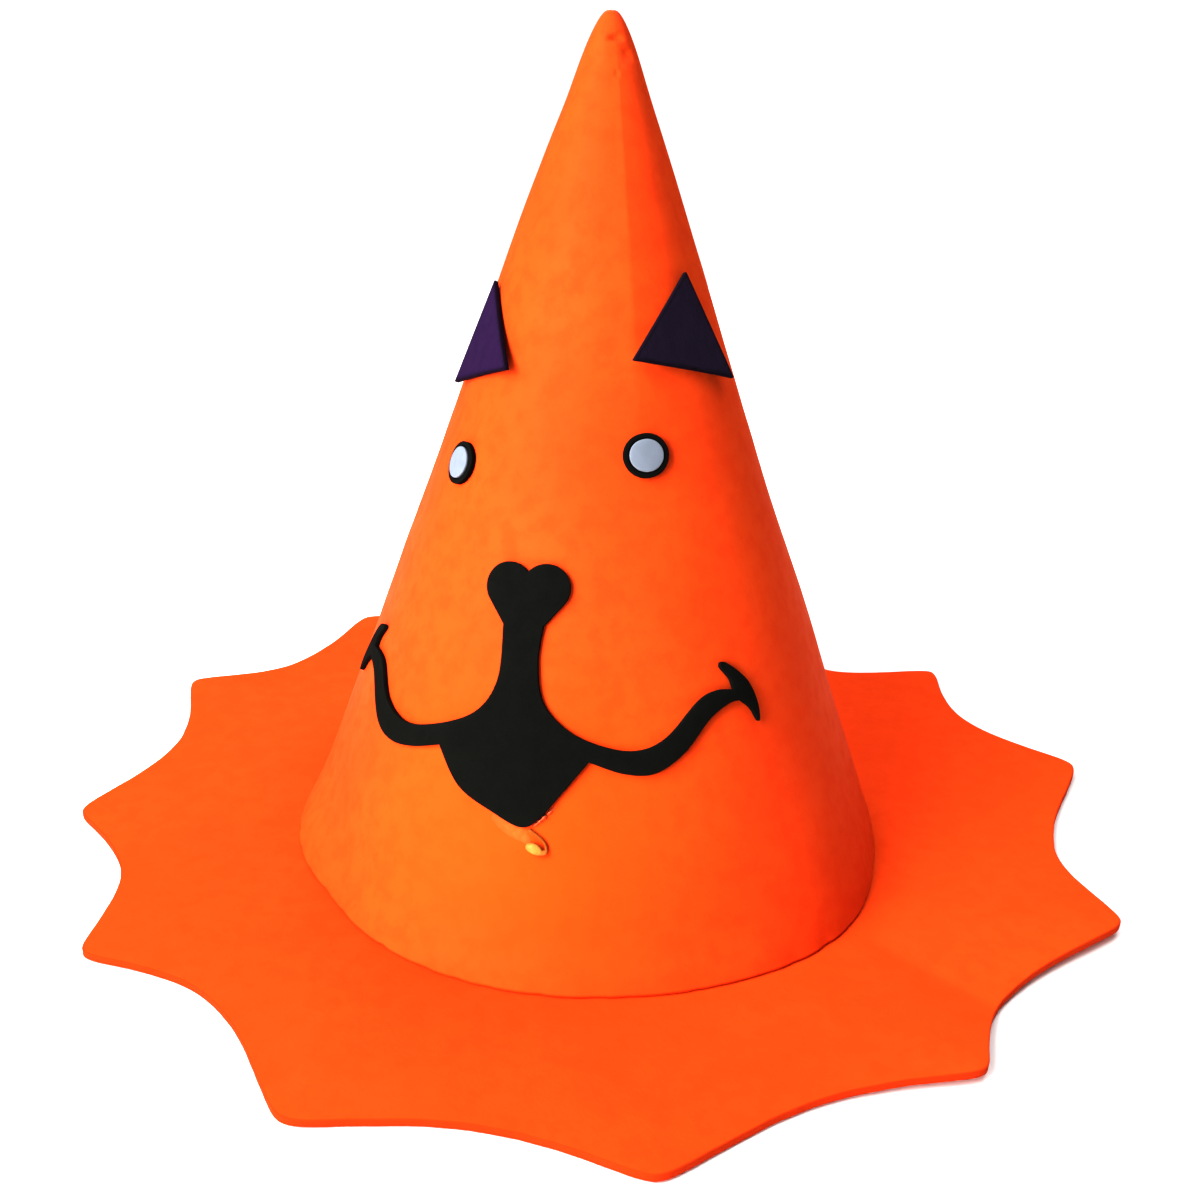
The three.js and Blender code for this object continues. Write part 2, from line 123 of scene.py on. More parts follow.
class NodePen:
    """Draws the nodes of a material or of the world."""

    def __init__(self, owner: bpy.types.ID, output: str = "OutputMaterial") -> None:
        """Starts with only the output.

        Args:
            owner: the material or the world.
            output: its output node's type without its ShaderNode prefix.
        """
        self.owner = owner
        self.owner.use_nodes = True
        self.tree = self.owner.node_tree
        self.tree.nodes.clear()
        self.output = self.add(output)

    def add(self, kind: str, values: Optional[dict] = None, **settings: object) -> bpy.types.Node:
        """Adds a node.

        Args:
            kind: the node's type without its ShaderNode prefix.
            values: input values, by name or number; a socket among them is linked.
            **settings: properties of the node.

        Returns:
            The new node.
        """
        node = self.tree.nodes.new("ShaderNode" + kind)
        for key, setting in settings.items():
            setattr(node, key, setting)
        for key, value in (values or {}).items():
            if isinstance(value, bpy.types.NodeSocket):
                self.tree.links.new(value, node.inputs[key])
            else:
                node.inputs[key].default_value = value
        return node

    def math(self, operation: str, first: object, second: object = 0.0) -> bpy.types.NodeSocket:
        """Adds a math node and gives its result."""
        return self.add("Math", {0: first, 1: second}, operation=operation).outputs[0]

    def spread(self, value: object, source: Point2, target: Point2) -> bpy.types.NodeSocket:
        """Maps a value smoothly from one range to another and gives the result."""
        values = dict(enumerate((value, *source, *target)))
        return self.add("MapRange", values, interpolation_type="SMOOTHSTEP").outputs[0]

    def grain(self, scale: float, detail: float, rough: float, **settings: object) -> bpy.types.NodeSocket:
        """Adds noise that stays on the piece and gives its value.

        Args:
            scale: how fine the noise is, per metre.
            detail: how many finer layers it has.
            rough: how strong the finer layers are.
            **settings: properties of the noise node.

        Returns:
            The noise's value.
        """
        place = self.add("TexCoord").outputs["Object"]
        values = {"Vector": place, "Scale": scale, "Detail": detail, "Roughness": rough}
        return self.add("TexNoise", values, **settings).outputs[0]

    def tint(self, share: object, first: object, second: object) -> bpy.types.NodeSocket:
        """Mixes two colours by a share and gives the result.

        Args:
            share: how much of the second colour shows.
            first: a colour or a socket.
            second: a colour or a socket.

        Returns:
            The mixed colour.
        """
        values = {0: share}
        for index, colour in ((6, first), (7, second)):
            values[index] = colour if isinstance(colour, bpy.types.NodeSocket) else (*colour, 1)
        return self.add("Mix", values, data_type="RGBA", clamp_factor=True).outputs[2]

    def attribute(self, name: str) -> bpy.types.NodeSocket:
        """Reads a float that the mesh holds for each vertex."""
        return self.add("Attribute", attribute_name=name).outputs["Fac"]

    def close(self, shader: bpy.types.Node) -> bpy.types.ID:
        """Links the shader to the output and gives the material or the world."""
        self.tree.links.new(shader.outputs[0], self.output.inputs[0])
        return self.owner


def darker(colour: Colour, losses: Colour) -> Colour:
    """Takes a share of each channel off a colour."""
    return tuple(channel * (1 - loss) for channel, loss in zip(colour, losses))


@dataclass(frozen=True)
class FeltFinish:
    """Needle-punched felt: cloudy dye, tangled fibres and cut edges of a tone of their own. On the crown the
    edge tone is painted shade along its base, and the glow colour is a painted glow of the light drop on the
    felt.
    """

    name: str
    dye: Colour
    fleck: Colour
    edge_tone: Colour
    gloss: float
    roughness: float
    edge_tone_strength: float = 0.25
    fuzz: float = 1.0
    mottle: Colour = (0.15, 0.15, 0.15)
    flecks: float = 0.4
    # Colour of a painted glow of light on the felt, mixed in by the mesh's glow share.
    glow: Optional[Colour] = None
    cloud_scale: float = 24.0
    blotch_scale: float = 190.0
    tangle_scale: float = 560.0
    tangle_twist: float = 1.3
    tangle_height: float = 0.35
    blotch_height: float = 1.8
    relief: float = 0.0003
    unevenness: float = 0.06
    sheen: float = 0.04
    sheen_roughness: float = 0.45

    def make(self) -> bpy.types.Material:
        """Builds the felt's material.

        Returns:
            The material.
        """
        pen = NodePen(bpy.data.materials.new(self.name))
        cloud = pen.grain(self.cloud_scale, detail=3, rough=0.5)
        blotch = pen.grain(self.blotch_scale, detail=4, rough=0.62)
        tangle = pen.grain(self.tangle_scale, detail=5, rough=0.62, noise_type="RIDGED_MULTIFRACTAL")
        tangle.node.inputs["Distortion"].default_value = self.tangle_twist
        deep = darker(self.dye, self.mottle)
        colour = pen.tint(pen.spread(cloud, NOISE_SPAN, (0, 0.5)), self.dye, deep)
        colour = pen.tint(pen.spread(blotch, (0.4, 0.68), (0, 0.6)), colour, deep)
        colour = pen.tint(pen.spread(tangle, (0.6, 2.2), (0, self.flecks)), colour, self.fleck)
        # Edge colour: the cut edges' own tone on most pieces; on the crown it is painted shade along the
        # base, where it meets the brim.
        colour = pen.tint(pen.spread(pen.attribute("edge"), (0, 1), (0, self.edge_tone_strength)), colour, self.edge_tone)
        # Painted glow of the light drop on the felt around it.
        if self.glow:
            colour = pen.tint(pen.attribute("painted_led_glow"), colour, self.glow)
        fibres = pen.math("MULTIPLY", tangle, self.tangle_height)
        height = pen.math("ADD", fibres, pen.math("MULTIPLY", blotch, self.blotch_height))
        relief = pen.add("Bump", {"Height": height, "Strength": 0.5 * self.fuzz, "Distance": self.relief})
        roughness = (self.roughness - self.unevenness, self.roughness + self.unevenness)
        shader = pen.add(
            "BsdfPrincipled",
            {
                "Base Color": colour,
                "Roughness": pen.spread(blotch, NOISE_SPAN, roughness),
                "Normal": relief.outputs[0],
                "Specular IOR Level": self.gloss,
                "Sheen Weight": self.sheen,
                "Sheen Roughness": self.sheen_roughness,
                "Sheen Tint": (*self.fleck, 1),
            },
        )
        return pen.close(shader)


@dataclass(frozen=True)
class ResinFinish:
    """Clear resin with tiny bubbles that glows where its lit share is high and has a rim colour elsewhere.
    The light drop glows with its own light; on the glue the glow is painted light of the drop.
    """

    name: str
    body: Colour
    rim: Colour
    glow: Colour
    strength: float
    roughness: float
    gloss: float
    haze_scale: float = 900.0
    haze_loss: float = 0.25
    relief: float = 0.0002
    unevenness: float = 0.08

    def make(self) -> bpy.types.Material:
        """Builds the resin's material.

        Returns:
            The material.
        """
        pen = NodePen(bpy.data.materials.new(self.name))
        haze = pen.grain(self.haze_scale, detail=3, rough=0.5)
        shade = darker(self.body, (self.haze_loss,) * 3)
        # For the light drop the lit share is its own glow; on the glue it is painted glow of the drop, which
        # also moves the glue toward its paler body colour.
        lit = pen.attribute("lit")
        colour = pen.tint(lit, self.rim, pen.tint(pen.spread(haze, NOISE_SPAN, (0, 1)), self.body, shade))
        power = pen.spread(haze, NOISE_SPAN, (self.strength, self.strength * (1 - self.haze_loss)))
        relief = pen.add("Bump", {"Height": haze, "Strength": 0.3, "Distance": self.relief})
        roughness = (self.roughness - self.unevenness, self.roughness + self.unevenness)
        shader = pen.add(
            "BsdfPrincipled",
            {
                "Base Color": colour,
                "Roughness": pen.spread(haze, NOISE_SPAN, roughness),
                "Normal": relief.outputs[0],
                "Specular IOR Level": self.gloss,
                "Emission Color": (*self.glow, 1),
                "Emission Strength": pen.math("MULTIPLY", lit, power),
            },
        )
        return pen.close(shader)


@dataclass(frozen=True)
class FloorFinish:
    """Pale studio floor with a faint unevenness."""

    name: str
    paint: Colour
    drift_scale: float = 3.0
    drift_loss: float = 0.015

    def make(self) -> bpy.types.Material:
        """Builds the floor's material.

        Returns:
            The material.
        """
        pen = NodePen(bpy.data.materials.new(self.name))
        drift = pen.grain(self.drift_scale, detail=2, rough=0.5)
        colour = pen.tint(drift, self.paint, darker(self.paint, (self.drift_loss,) * 3))
        return pen.close(
            pen.add("BsdfPrincipled", {"Base Color": colour, "Roughness": 0.9, "Specular IOR Level": 0.1})
        )


ORANGE_FELT = FeltFinish(
    "orange felt",
    dye=(0.75, 0.09, 0.0133),
    fleck=(0.84, 0.15, 0.035),
    # On the crown the edge colour below is painted shade along the base, where the crown meets the brim.
    edge_tone=(0.3, 0.02, 0.003),
    gloss=0.055,
    roughness=0.66,
    edge_tone_strength=0.75,
    fuzz=0.4,
    mottle=(0.06, 0.26, 0.26),
    flecks=0.6,
    # The glow colour is painted light of the light drop on the crown's felt.
    glow=(0.8, 0.094, 0.0065),
)
BRIM_FELT = replace(
    ORANGE_FELT,
    name="orange brim felt",
    dye=(0.745, 0.082, 0.0112),
    edge_tone=(0.5, 0.042, 0.006),
    gloss=0.03,
    roughness=0.75,
    edge_tone_strength=0.85,
    mottle=(0.06, 0.15, 0.15),
    flecks=0.4,
)
PURPLE_FELT = FeltFinish(
    "purple felt",
    dye=(0.029, 0.0115, 0.047),
    fleck=(0.05, 0.024, 0.078),
    edge_tone=(0.01, 0.005, 0.014),
    gloss=0.04,
    edge_tone_strength=0.85,
    roughness=0.9,
)
NAVY_FELT = replace(
    PURPLE_FELT,
    name="navy felt",
    dye=(0.027, 0.0175, 0.037),
    fleck=(0.046, 0.032, 0.064),
    edge_tone=(0.01, 0.007, 0.013),
)
BLACK_FELT = FeltFinish(
    "black felt",
    dye=(0.0085, 0.009, 0.0076),
    fleck=(0.019, 0.019, 0.0175),
    edge_tone=(0.015, 0.015, 0.014),
    gloss=0.03,
    roughness=0.92,
    edge_tone_strength=0.1,
)
PALE_FELT = FeltFinish(
    "pale felt",
    dye=(0.21, 0.235, 0.28),
    fleck=(0.27, 0.29, 0.33),
    edge_tone=(0.25, 0.27, 0.31),
    gloss=0.1,
    roughness=0.85,
    fuzz=0.6,
)
LIT_RESIN = ResinFinish(
    "lit resin",
    body=(0.6, 0.17, 0.035),
    rim=(0.3, 0.08, 0.01),
    glow=(1.0, 0.68, 0.16),
    strength=0.6,
    roughness=0.45,
    gloss=0.15,
)
# The glue film's faint emission is painted glow of the light drop, and its paler middle is partly the glue's
# own tone and partly painted glow.
GLUE_RESIN = ResinFinish(
    "clear glue",
    body=(0.82, 0.14, 0.022),
    rim=(0.78, 0.098, 0.012),
    glow=(1.0, 0.3, 0.03),
    strength=0.03,
    roughness=0.6,
    gloss=0.1,
)
# The dried glue's faint emission is painted glow of the light drop.
DRIED_GLUE = ResinFinish(
    "dried glue",
    body=(0.75, 0.2, 0.085),
    rim=(0.8, 0.1, 0.02),
    glow=(1.0, 0.4, 0.1),
    strength=0.03,
    roughness=0.55,
    gloss=0.2,
)
PALE_FLOOR = FloorFinish("pale floor", (0.92, 0.92, 0.92))


# The crown's wall, which carries the face


@dataclass(frozen=True)
class Fold:
    """One fold, bulge or dent of the crown wall.

    The push is an outward share of the local radius.
    """

    azimuth: float
    height: float
    half: float
    above: float
    below: float
    push: float
    shape: FoldShape = FoldShape.ROUND

    def at(self, azimuth: float, height: float) -> float:
        """Gives the fold's push at a place on the wall.

        Args:
            azimuth: degrees from the front.
            height: millimetres above the floor.

        Returns:
            The outward share of the local radius.
        """
        across = wrap_degrees(azimuth - self.azimuth) / self.half
        rise = height - self.height
        along = rise / (self.above if rise > 0 else self.below)
        if abs(across) >= 1 or abs(along) >= 1:
            return 0.0
        fade = ridge if self.shape is FoldShape.SHARP else bump
        return self.push * fade(across) * bump(along)


MAIN_FOLDS = (
    Fold(31, 205, 46, 60, 85, 0.075, FoldShape.SHARP),  # front crease
    Fold(211, 205, 46, 60, 85, 0.075, FoldShape.SHARP),  # back crease
    Fold(62, 0, 22, 70, 40, 0.022),  # front right corner
    Fold(24, 0, 40, 15, 40, 0.024),  # front flare
    Fold(-20, 0, 32, 16, 40, 0.016),  # front left flare
    Fold(-52, 0, 25, 22, 40, 0.055),  # left flare
    Fold(-77, 205, 45, 20, 80, 0.034),  # left bulge
    Fold(115, 140, 45, 45, 75, -0.022),  # right hollow
    Fold(45, 234, 42, 5, 5, -0.05),  # tip crimp
)
TIP_WRINKLES = (
    Fold(30, 237, 27, 2.2, 0.7, -0.2),
    Fold(52, 233.5, 16, 2, 3, -0.05),
    Fold(29, 228.6, 6, 1.5, 1.5, -0.03),
    Fold(-6, 238, 9, 1.2, 1.2, 0.03),
)


@dataclass
class CrownForm:
    """The outside of the crown: a cone over a rounded oval, with folds and a rounded tip."""

    apex: float = 253.7
    tip: float = 244.2
    base: float = 2.5
    half_length: float = 107.0
    half_width: float = 92.4
    squareness: float = 2.31
    long_axis: float = 25.0
    shift: Vector = field(default_factory=lambda: Vector((-0.5, -0.54, 0)))
    rounding: float = 16.0
    rounding_power: float = 3.6
    bluntness: float = 0.3
    closed_within: float = 0.001
    steps: int = 1440
    pucker_seed: int = 12
    pucker_count: int = 54
    pucker_drift: float = 0.35
    pucker_half: Point2 = (1.1, 2.0)
    pucker_depth: Point2 = (0.1, 0.5)
    pucker_reach: float = 6.5

    def __post_init__(self) -> None:
        """Unrolls the plain cone into its flat pattern and scatters the seam's puckers."""
        angles = [step / self.steps * 360 - 180 for step in range(self.steps + 1)]
        rays = [polar(self.oval(angle), angle, -self.apex).normalized() for angle in angles]
        self.unrolled = [0.0]
        for before, after in zip(rays, rays[1:]):
            self.unrolled.append(self.unrolled[-1] + (after - before).length)
        self.front = self.unrolled[self.steps // 2]
        draw = random.Random(self.pucker_seed)
        pitch = 360 / self.pucker_count
        self.puckers = []
        for index in range(self.pucker_count):
            middle = pitch * (index + draw.uniform(-self.pucker_drift, self.pucker_drift))
            self.puckers.append((middle, draw.uniform(*self.pucker_half), draw.uniform(*self.pucker_depth)))

    def oval(self, azimuth: float) -> float:
        """Gives the plain oval's radius at the height 0.

        Args:
            azimuth: degrees from the front.

        Returns:
            The radius in millimetres.
        """
        turn = math.radians(azimuth - self.long_axis)
        lengthwise = abs(math.cos(turn) / self.half_length) ** self.squareness
        crosswise = abs(math.sin(turn) / self.half_width) ** self.squareness
        return (lengthwise + crosswise) ** (-1 / self.squareness)

    def radius(self, azimuth: float, height: float, fine: bool = False) -> float:
        """Gives the wall's outside radius.

        Args:
            azimuth: degrees from the front.
            height: millimetres above the floor.
            fine: adds the tip's wrinkles and the seam's puckers.

        Returns:
            The radius in millimetres.
        """
        cone = (self.apex - height) / self.apex
        below = max(0.0, self.tip - height - self.closed_within)
        inward = max(0.0, 1 - below / self.rounding) ** self.rounding_power
        cap = (1 - inward) ** self.bluntness
        folds = MAIN_FOLDS + TIP_WRINKLES if fine else MAIN_FOLDS
        push = sum(fold.at(azimuth, height) for fold in folds)
        radius = self.oval(azimuth) * cone * cap * (1 + push)
        if fine and height < self.base + self.pucker_reach:
            radius -= self.pucker(azimuth, height)
        return radius

    def pucker(self, azimuth: float, height: float) -> float:
        """Gives how far the glued seam draws the wall in near the base.

        Args:
            azimuth: degrees from the front.
            height: millimetres above the floor.

        Returns:
            The depth in millimetres.
        """
        drawn_in = sum(
            depth * bump(wrap_degrees(azimuth - middle) / half) for middle, half, depth in self.puckers
        )
        return drawn_in * bump((height - self.base) / self.pucker_reach)

    def point(self, azimuth: float, height: float, inset: float = 0.0, fine: bool = False) -> Vector:
        """Gives a point of the wall, set in from its outside."""
        return polar(self.radius(azimuth, height, fine) - inset, azimuth, height) + self.shift

    def normal(self, azimuth: float, height: float) -> Vector:
        """Gives the outward direction at a place on the wall.

        Args:
            azimuth: degrees from the front.
            height: millimetres above the floor.

        Returns:
            The direction.
        """
        around = self.point(azimuth + 1, height) - self.point(azimuth - 1, height)
        upward = self.point(azimuth, height + 1) - self.point(azimuth, height - 1)
        return around.cross(upward).normalized()

    def from_pattern(self, x: float, y: float) -> Point2:
        """Finds a point of the flat pattern on the wall.

        Args:
            x: millimetres to the right of the face's middle line.
            y: millimetres upward from the virtual apex.

        Returns:
            The azimuth and the height.
        """
        wanted = self.front + math.atan2(x, -y)
        after = bisect.bisect_left(self.unrolled, wanted)
        low, high = self.unrolled[after - 1], self.unrolled[after]
        azimuth = (after - 1 + (wanted - low) / (high - low)) / self.steps * 360 - 180
        slant = math.hypot(self.oval(azimuth), self.apex)
        return azimuth, self.apex * (1 - math.hypot(x, y) / slant)

    def on_crown(self, x: float, y: float, lift: float) -> Vector:
        """Lays a point of the flat pattern on the wall, lifted along its normal."""
        azimuth, height = self.from_pattern(x, y)
        return self.point(azimuth, height) + self.normal(azimuth, height) * lift

    def lay(
        self, mesh: bmesh.types.BMesh, lift: float, stiffness: float = 0.0, middle: Point2 = (0, -200)
    ) -> None:
        """Lays a flat mesh of the pattern on the wall.

        Args:
            mesh: the mesh, with x and y in the pattern and z above its seat.
            lift: the seat's distance from the wall.
            stiffness: 0 follows the wall, 1 stays flat on the plane that touches it at the middle.
            middle: the place where a stiff piece touches.
        """
        x, y = middle
        seat = self.on_crown(x, y, 0)
        across = (self.on_crown(x + 0.5, y, 0) - self.on_crown(x - 0.5, y, 0)).normalized()
        upward = (self.on_crown(x, y + 0.5, 0) - self.on_crown(x, y - 0.5, 0)).normalized()
        outward = across.cross(upward)
        for vert in mesh.verts:
            flat = vert.co.copy()
            followed = self.on_crown(flat.x, flat.y, lift + flat.z)
            straight = seat + across * (flat.x - x) + upward * (flat.y - y) + outward * (lift + flat.z)
            vert.co = followed.lerp(straight, stiffness)


@dataclass
class Spline:
    """A smooth plane curve through a row of points."""

    points: Sequence[Point2]
    divisions: int = 200
    nudge: float = 0.002

    def __post_init__(self) -> None:
        """Measures the curve along its length."""
        self.lengths = [0.0]
        last = self.plain(0)
        for step in range(1, self.divisions + 1):
            here = self.plain(step / self.divisions)
            self.lengths.append(self.lengths[-1] + (here - last).length)
            last = here

    def plain(self, share: float) -> Vector:
        """Gives the point at a share of the rows.

        Args:
            share: 0 at the first row and 1 at the last.

        Returns:
            The point.
        """
        last = len(self.points) - 1
        index = min(int(last * share), last)
        weight = last * share - index
        p0, p1, p2, p3 = (
            Vector(self.points[min(last, max(0, index + offset))]) for offset in (-1, 0, 1, 2)
        )
        start, end = (p2 - p0) * 0.5, (p3 - p1) * 0.5
        cube = (p1 - p2) * 2 + start + end
        square = (p2 - p1) * 3 - start * 2 - end
        return ((cube * weight + square) * weight + start) * weight + p1

    def rows_share(self, share: float) -> float:
        """Turns a share of the length into a share of the rows.

        Args:
            share: 0 at the curve's start and 1 at its end.

        Returns:
            The share of the rows.
        """
        wanted = self.lengths[-1] * share
        after = min(self.divisions, max(1, bisect.bisect_left(self.lengths, wanted)))
        low, high = self.lengths[after - 1], self.lengths[after]
        return (after - 1 + (wanted - low) / max(1e-9, high - low)) / self.divisions

    def at(self, share: float) -> Vector:
        """Gives the point at a share of the length."""
        return self.plain(min(1.0, max(0.0, self.rows_share(share))))

    def tangent(self, share: float) -> Vector:
        """Gives the direction at a share of the length."""
        return (self.at(min(1, share + self.nudge)) - self.at(max(0, share - self.nudge))).normalized()

    def run(self, steps: int) -> list[Vector]:
        """Gives evenly numbered points from end to end."""
        return [self.plain(step / steps) for step in range(steps + 1)]


# Mesh helpers


def close_skin(mesh: bmesh.types.BMesh) -> None:
    """Merges doubles and makes the faces' directions agree, outward on a closed skin."""
    bmesh.ops.remove_doubles(mesh, verts=mesh.verts[:], dist=MERGE_DISTANCE)
    bmesh.ops.recalc_face_normals(mesh, faces=mesh.faces[:])


def below(middle: Vector) -> Vector:
    """Gives the inside point of a face of a flat skin that looks up."""
    return middle - Vector((0, 0, 1))


def face_out(mesh: bmesh.types.BMesh, inside: Callable[[Vector], Vector] = below) -> None:
    """Merges doubles and turns an open skin's faces away from its inside.

    Args:
        mesh: the skin.
        inside: gives the inside point that belongs to a face's middle.
    """
    close_skin(mesh)
    mesh.normal_update()
    middles = [(face, face.calc_center_median()) for face in mesh.faces]
    if sum(face.normal.dot(middle - inside(middle)) for face, middle in middles) < 0:
        bmesh.ops.reverse_faces(mesh, faces=mesh.faces[:])


def line_profile(mesh: bmesh.types.BMesh, points: Sequence[Vector]) -> list[bmesh.types.BMVert]:
    """Draws a profile by pulling one vertex from point to point.

    Args:
        mesh: the mesh to draw in.
        points: the profile's points.

    Returns:
        The profile's vertices.
    """
    drawn = [mesh.verts.new(points[0])]
    for point in points[1:]:
        pulled = bmesh.ops.extrude_vert_indiv(mesh, verts=drawn[-1:])
        drawn.append(pulled["verts"][0])
        drawn[-1].co = point
    return drawn


def spin_profile(mesh: bmesh.types.BMesh, steps: int) -> None:
    """Turns everything drawn so far once about the Z axis.

    Args:
        mesh: the mesh with the profile.
        steps: the number of steps round.
    """
    bmesh.ops.spin(
        mesh,
        geom=mesh.verts[:] + mesh.edges[:],
        cent=(0, 0, 0),
        axis=(0, 0, 1),
        dvec=(0, 0, 0),
        angle=FULL_TURN,
        steps=steps,
        use_merge=True,
    )


def set_attribute(
    mesh: bmesh.types.BMesh, name: str, value_of: Callable[[bmesh.types.BMVert], float]
) -> None:
    """Writes a float for each vertex under a name that the finishes read.

    Args:
        mesh: the mesh that gets the attribute.
        name: the attribute's name.
        value_of: gives a vertex's value.
    """
    layer = mesh.verts.layers.float.new(name)
    for vert in mesh.verts:
        vert[layer] = value_of(vert)


@dataclass
class Trim:
    """How a flat felt skin gets its body: the felt's thickness and the softness of its cut edges."""

    thickness: float
    softness: float
    segments: int = 3

    def put_on(self, piece: bpy.types.Object) -> None:
        """Adds the modifiers for thickness and soft edges.

        Args:
            piece: the skin's object.
        """
        wall = piece.modifiers.new("felt thickness", "SOLIDIFY")
        wall.thickness = self.thickness * MM
        wall.offset = -1
        wall.use_even_offset = False
        edge = piece.modifiers.new("cut edge", "BEVEL")
        edge.width = self.softness * MM
        edge.segments = self.segments
        edge.limit_method = "WEIGHT"
        edge.use_clamp_overlap = False


def put_in_scene(name: str, data: bpy.types.ID) -> bpy.types.Object:
    """Makes an object of a mesh, a lamp or a camera and links it to the scene.

    Args:
        name: the object's name.
        data: the mesh, the lamp or the camera.

    Returns:
        The object.
    """
    made = bpy.data.objects.new(name, data)
    bpy.context.scene.collection.objects.link(made)
    return made


def put_mesh_in_scene(mesh: bmesh.types.BMesh, name: str, material: bpy.types.Material) -> bpy.types.Object:
    """Makes an object of a drawn mesh, which is freed.

    Args:
        mesh: the drawn mesh.
        name: the object's name.
        material: its finish.

    Returns:
        The object.
    """
    data = bpy.data.meshes.new(name)
    mesh.to_mesh(data)
    mesh.free()
    data.materials.append(material)
    return put_in_scene(name, data)


def finish_piece(
    mesh: bmesh.types.BMesh,
    name: str,
    material: bpy.types.Material,
    node: Optional[str] = None,
    trim: Optional[Trim] = None,
) -> bpy.types.Object:
    """Makes a drawn mesh a piece of the hat, in metres.

    Args:
        mesh: the mesh in millimetres, which is freed.
        name: the piece's name.
        material: its finish.
        node: the CAD node that the piece stands for.
        trim: the body of a piece that is drawn as a skin.

    Returns:
        The piece's object.
    """
    bmesh.ops.scale(mesh, vec=(MM, MM, MM), verts=mesh.verts[:])
    for face in mesh.faces:
        face.smooth = True
    cut_edge = mesh.edges.layers.float.new("bevel_weight_edge")
    for edge in mesh.edges:
        edge[cut_edge] = float(edge.is_boundary)
    piece = put_mesh_in_scene(mesh, name, material)
    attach(piece, "root")
    if node:
        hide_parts(node)
    if trim:
        trim.put_on(piece)
    LOG.info("piece %s: %d faces", name, len(piece.data.polygons))
    return piece


# The hat's pieces


@dataclass(frozen=True)
class RingRow:
    """Rings of the crown between two heights, crowded toward the upper one."""

    low: float
    high: float
    count: int
    crowding: float = 1.0

    def heights(self) -> list[float]:
        """Gives the rings' heights above the lower one."""
        shares = [1 - step / self.count for step in range(1, self.count + 1)]
        return [self.high - (self.high - self.low) * share**self.crowding for share in shares]


@dataclass
class Crown:
    """The tall cone of orange felt."""

    form: CrownForm
    felt: float = 2.2
    segments: int = 288
    softness: float = 0.9
    rows: Sequence[RingRow] = (
        RingRow(2.5, 11, 9),
        RingRow(11, 222, 66),
        RingRow(222, 240, 58),
        RingRow(240, 244.2, 18, 2.2),
    )
    lumps: Sequence[tuple[float, float]] = ((34, 0.32), (11, 0.1))
    # Near light_at the crown's felt gets a painted glow of the light drop, reaching as far as set below.
    light_at: Point2 = (12.0, -236.0)
    painted_glow_reach: float = 70.0
    painted_led_glow: float = 0.7
    # The seam fields below shape a band of painted shade along the crown's base, where it meets the brim.
    seam_height: float = 1.0
    seam_raggedness: float = 0.5
    seam_grain: float = 4.0
    seam_from: float = -45.0
    seam_to: float = -15.0
    smooth_tip: float = 25.0

    def rings(self) -> list[float]:
        """Gives the heights of the rings, closer together at the base and the tip."""
        return [self.rows[0].low, *(height for row in self.rows for height in row.heights())]

    def build(self, material: bpy.types.Material) -> bpy.types.Object:
        """Spins the wall, moves it to the folded cone and gives it its thickness.

        Args:
            material: the felt's finish.

        Returns:
            The crown.
        """
        mesh = bmesh.new()
        start = MAIN_FOLDS[0].azimuth
        line_profile(mesh, [polar(1, start, height) for height in self.rings()])
        spin_profile(mesh, self.segments)
        for vert in mesh.verts:
            vert.co = self.place(azimuth_of(vert.co), vert.co.z)
        face_out(mesh, lambda middle: Vector((0, 0, middle.z / 2)))
        light = self.form.on_crown(*self.light_at, 0)
        # The crown's edge share is painted shade along its base.
        set_attribute(mesh, "edge", lambda vert: self.painted_seam_shade(vert.co))
        # Painted glow of the light drop, strongest next to it.
        set_attribute(mesh, "painted_led_glow", lambda vert: self.painted_glow_at((vert.co - light).length))
        trim = Trim(self.felt, self.softness)
        return finish_piece(mesh, "crown_felt", material, "crown", trim)

    def painted_glow_at(self, distance: float) -> float:
        """Gives how much painted glow of the light drop the felt gets at a distance from the light."""
        return self.painted_led_glow * bump(distance / self.painted_glow_reach)

    def painted_seam_shade(self, point: Vector) -> float:
        """Gives the painted shade along the crown's base at a point, where the crown meets the brim, ragged
        and fading toward the hat's left.

        Args:
            point: a point of the wall in millimetres.

        Returns:
            0 for plain felt, 1 for the darkest.
        """
        ragged = self.seam_height * (1 + self.seam_raggedness * noise.noise(point / self.seam_grain))
        fade = ease(self.seam_from, self.seam_to, azimuth_of(point))
        return fade * (1 - ease(self.form.base, self.form.base + ragged, point.z))

    def place(self, azimuth: float, height: float) -> Vector:
        """Gives a place on the wall with the felt's soft unevenness.

        Args:
            azimuth: degrees from the front.
            height: millimetres above the floor.

        Returns:
            The point in millimetres.
        """
        point = self.form.point(azimuth, height, 0, True)
        fade = ease(self.form.tip, self.form.tip - self.smooth_tip, height)
        swell = sum(depth * noise.noise(point / size) for size, depth in self.lumps)
        return point + self.form.normal(azimuth, height) * swell * fade if fade else point


@dataclass
class BrimPoint:
    """One point of the brim's edge and the valley that follows it toward +X."""

    tip_azimuth: float
    tip_radius: float
    valley_azimuth: float
    valley_radius: float
    lift: float


BRIM_POINTS = (
    BrimPoint(-6, 169.0, 10, 156.2, 0.1),
    BrimPoint(24.5, 168.8, 41, 154.6, 0.3),
    BrimPoint(55.5, 166.2, 66, 153.2, 0.9),
    BrimPoint(84, 170.0, 97.5, 151.1, 1.2),
    BrimPoint(116.5, 171.6, 131.5, 150.9, 0.4),
    BrimPoint(144, 166.6, 155.5, 134, 0.2),
    BrimPoint(174, 169.0, 189, 152, 0.6),
    BrimPoint(204, 169.0, 219.5, 151.5, 0.2),
    BrimPoint(235, 168.0, 252, 150.0, 0.5),
    BrimPoint(264.5, 170.2, 280.5, 149.7, 0.9),
    BrimPoint(297, 166.3, 310, 152.4, 0.5),
    BrimPoint(323, 168.0, 336.5, 149.6, 0.4),
)


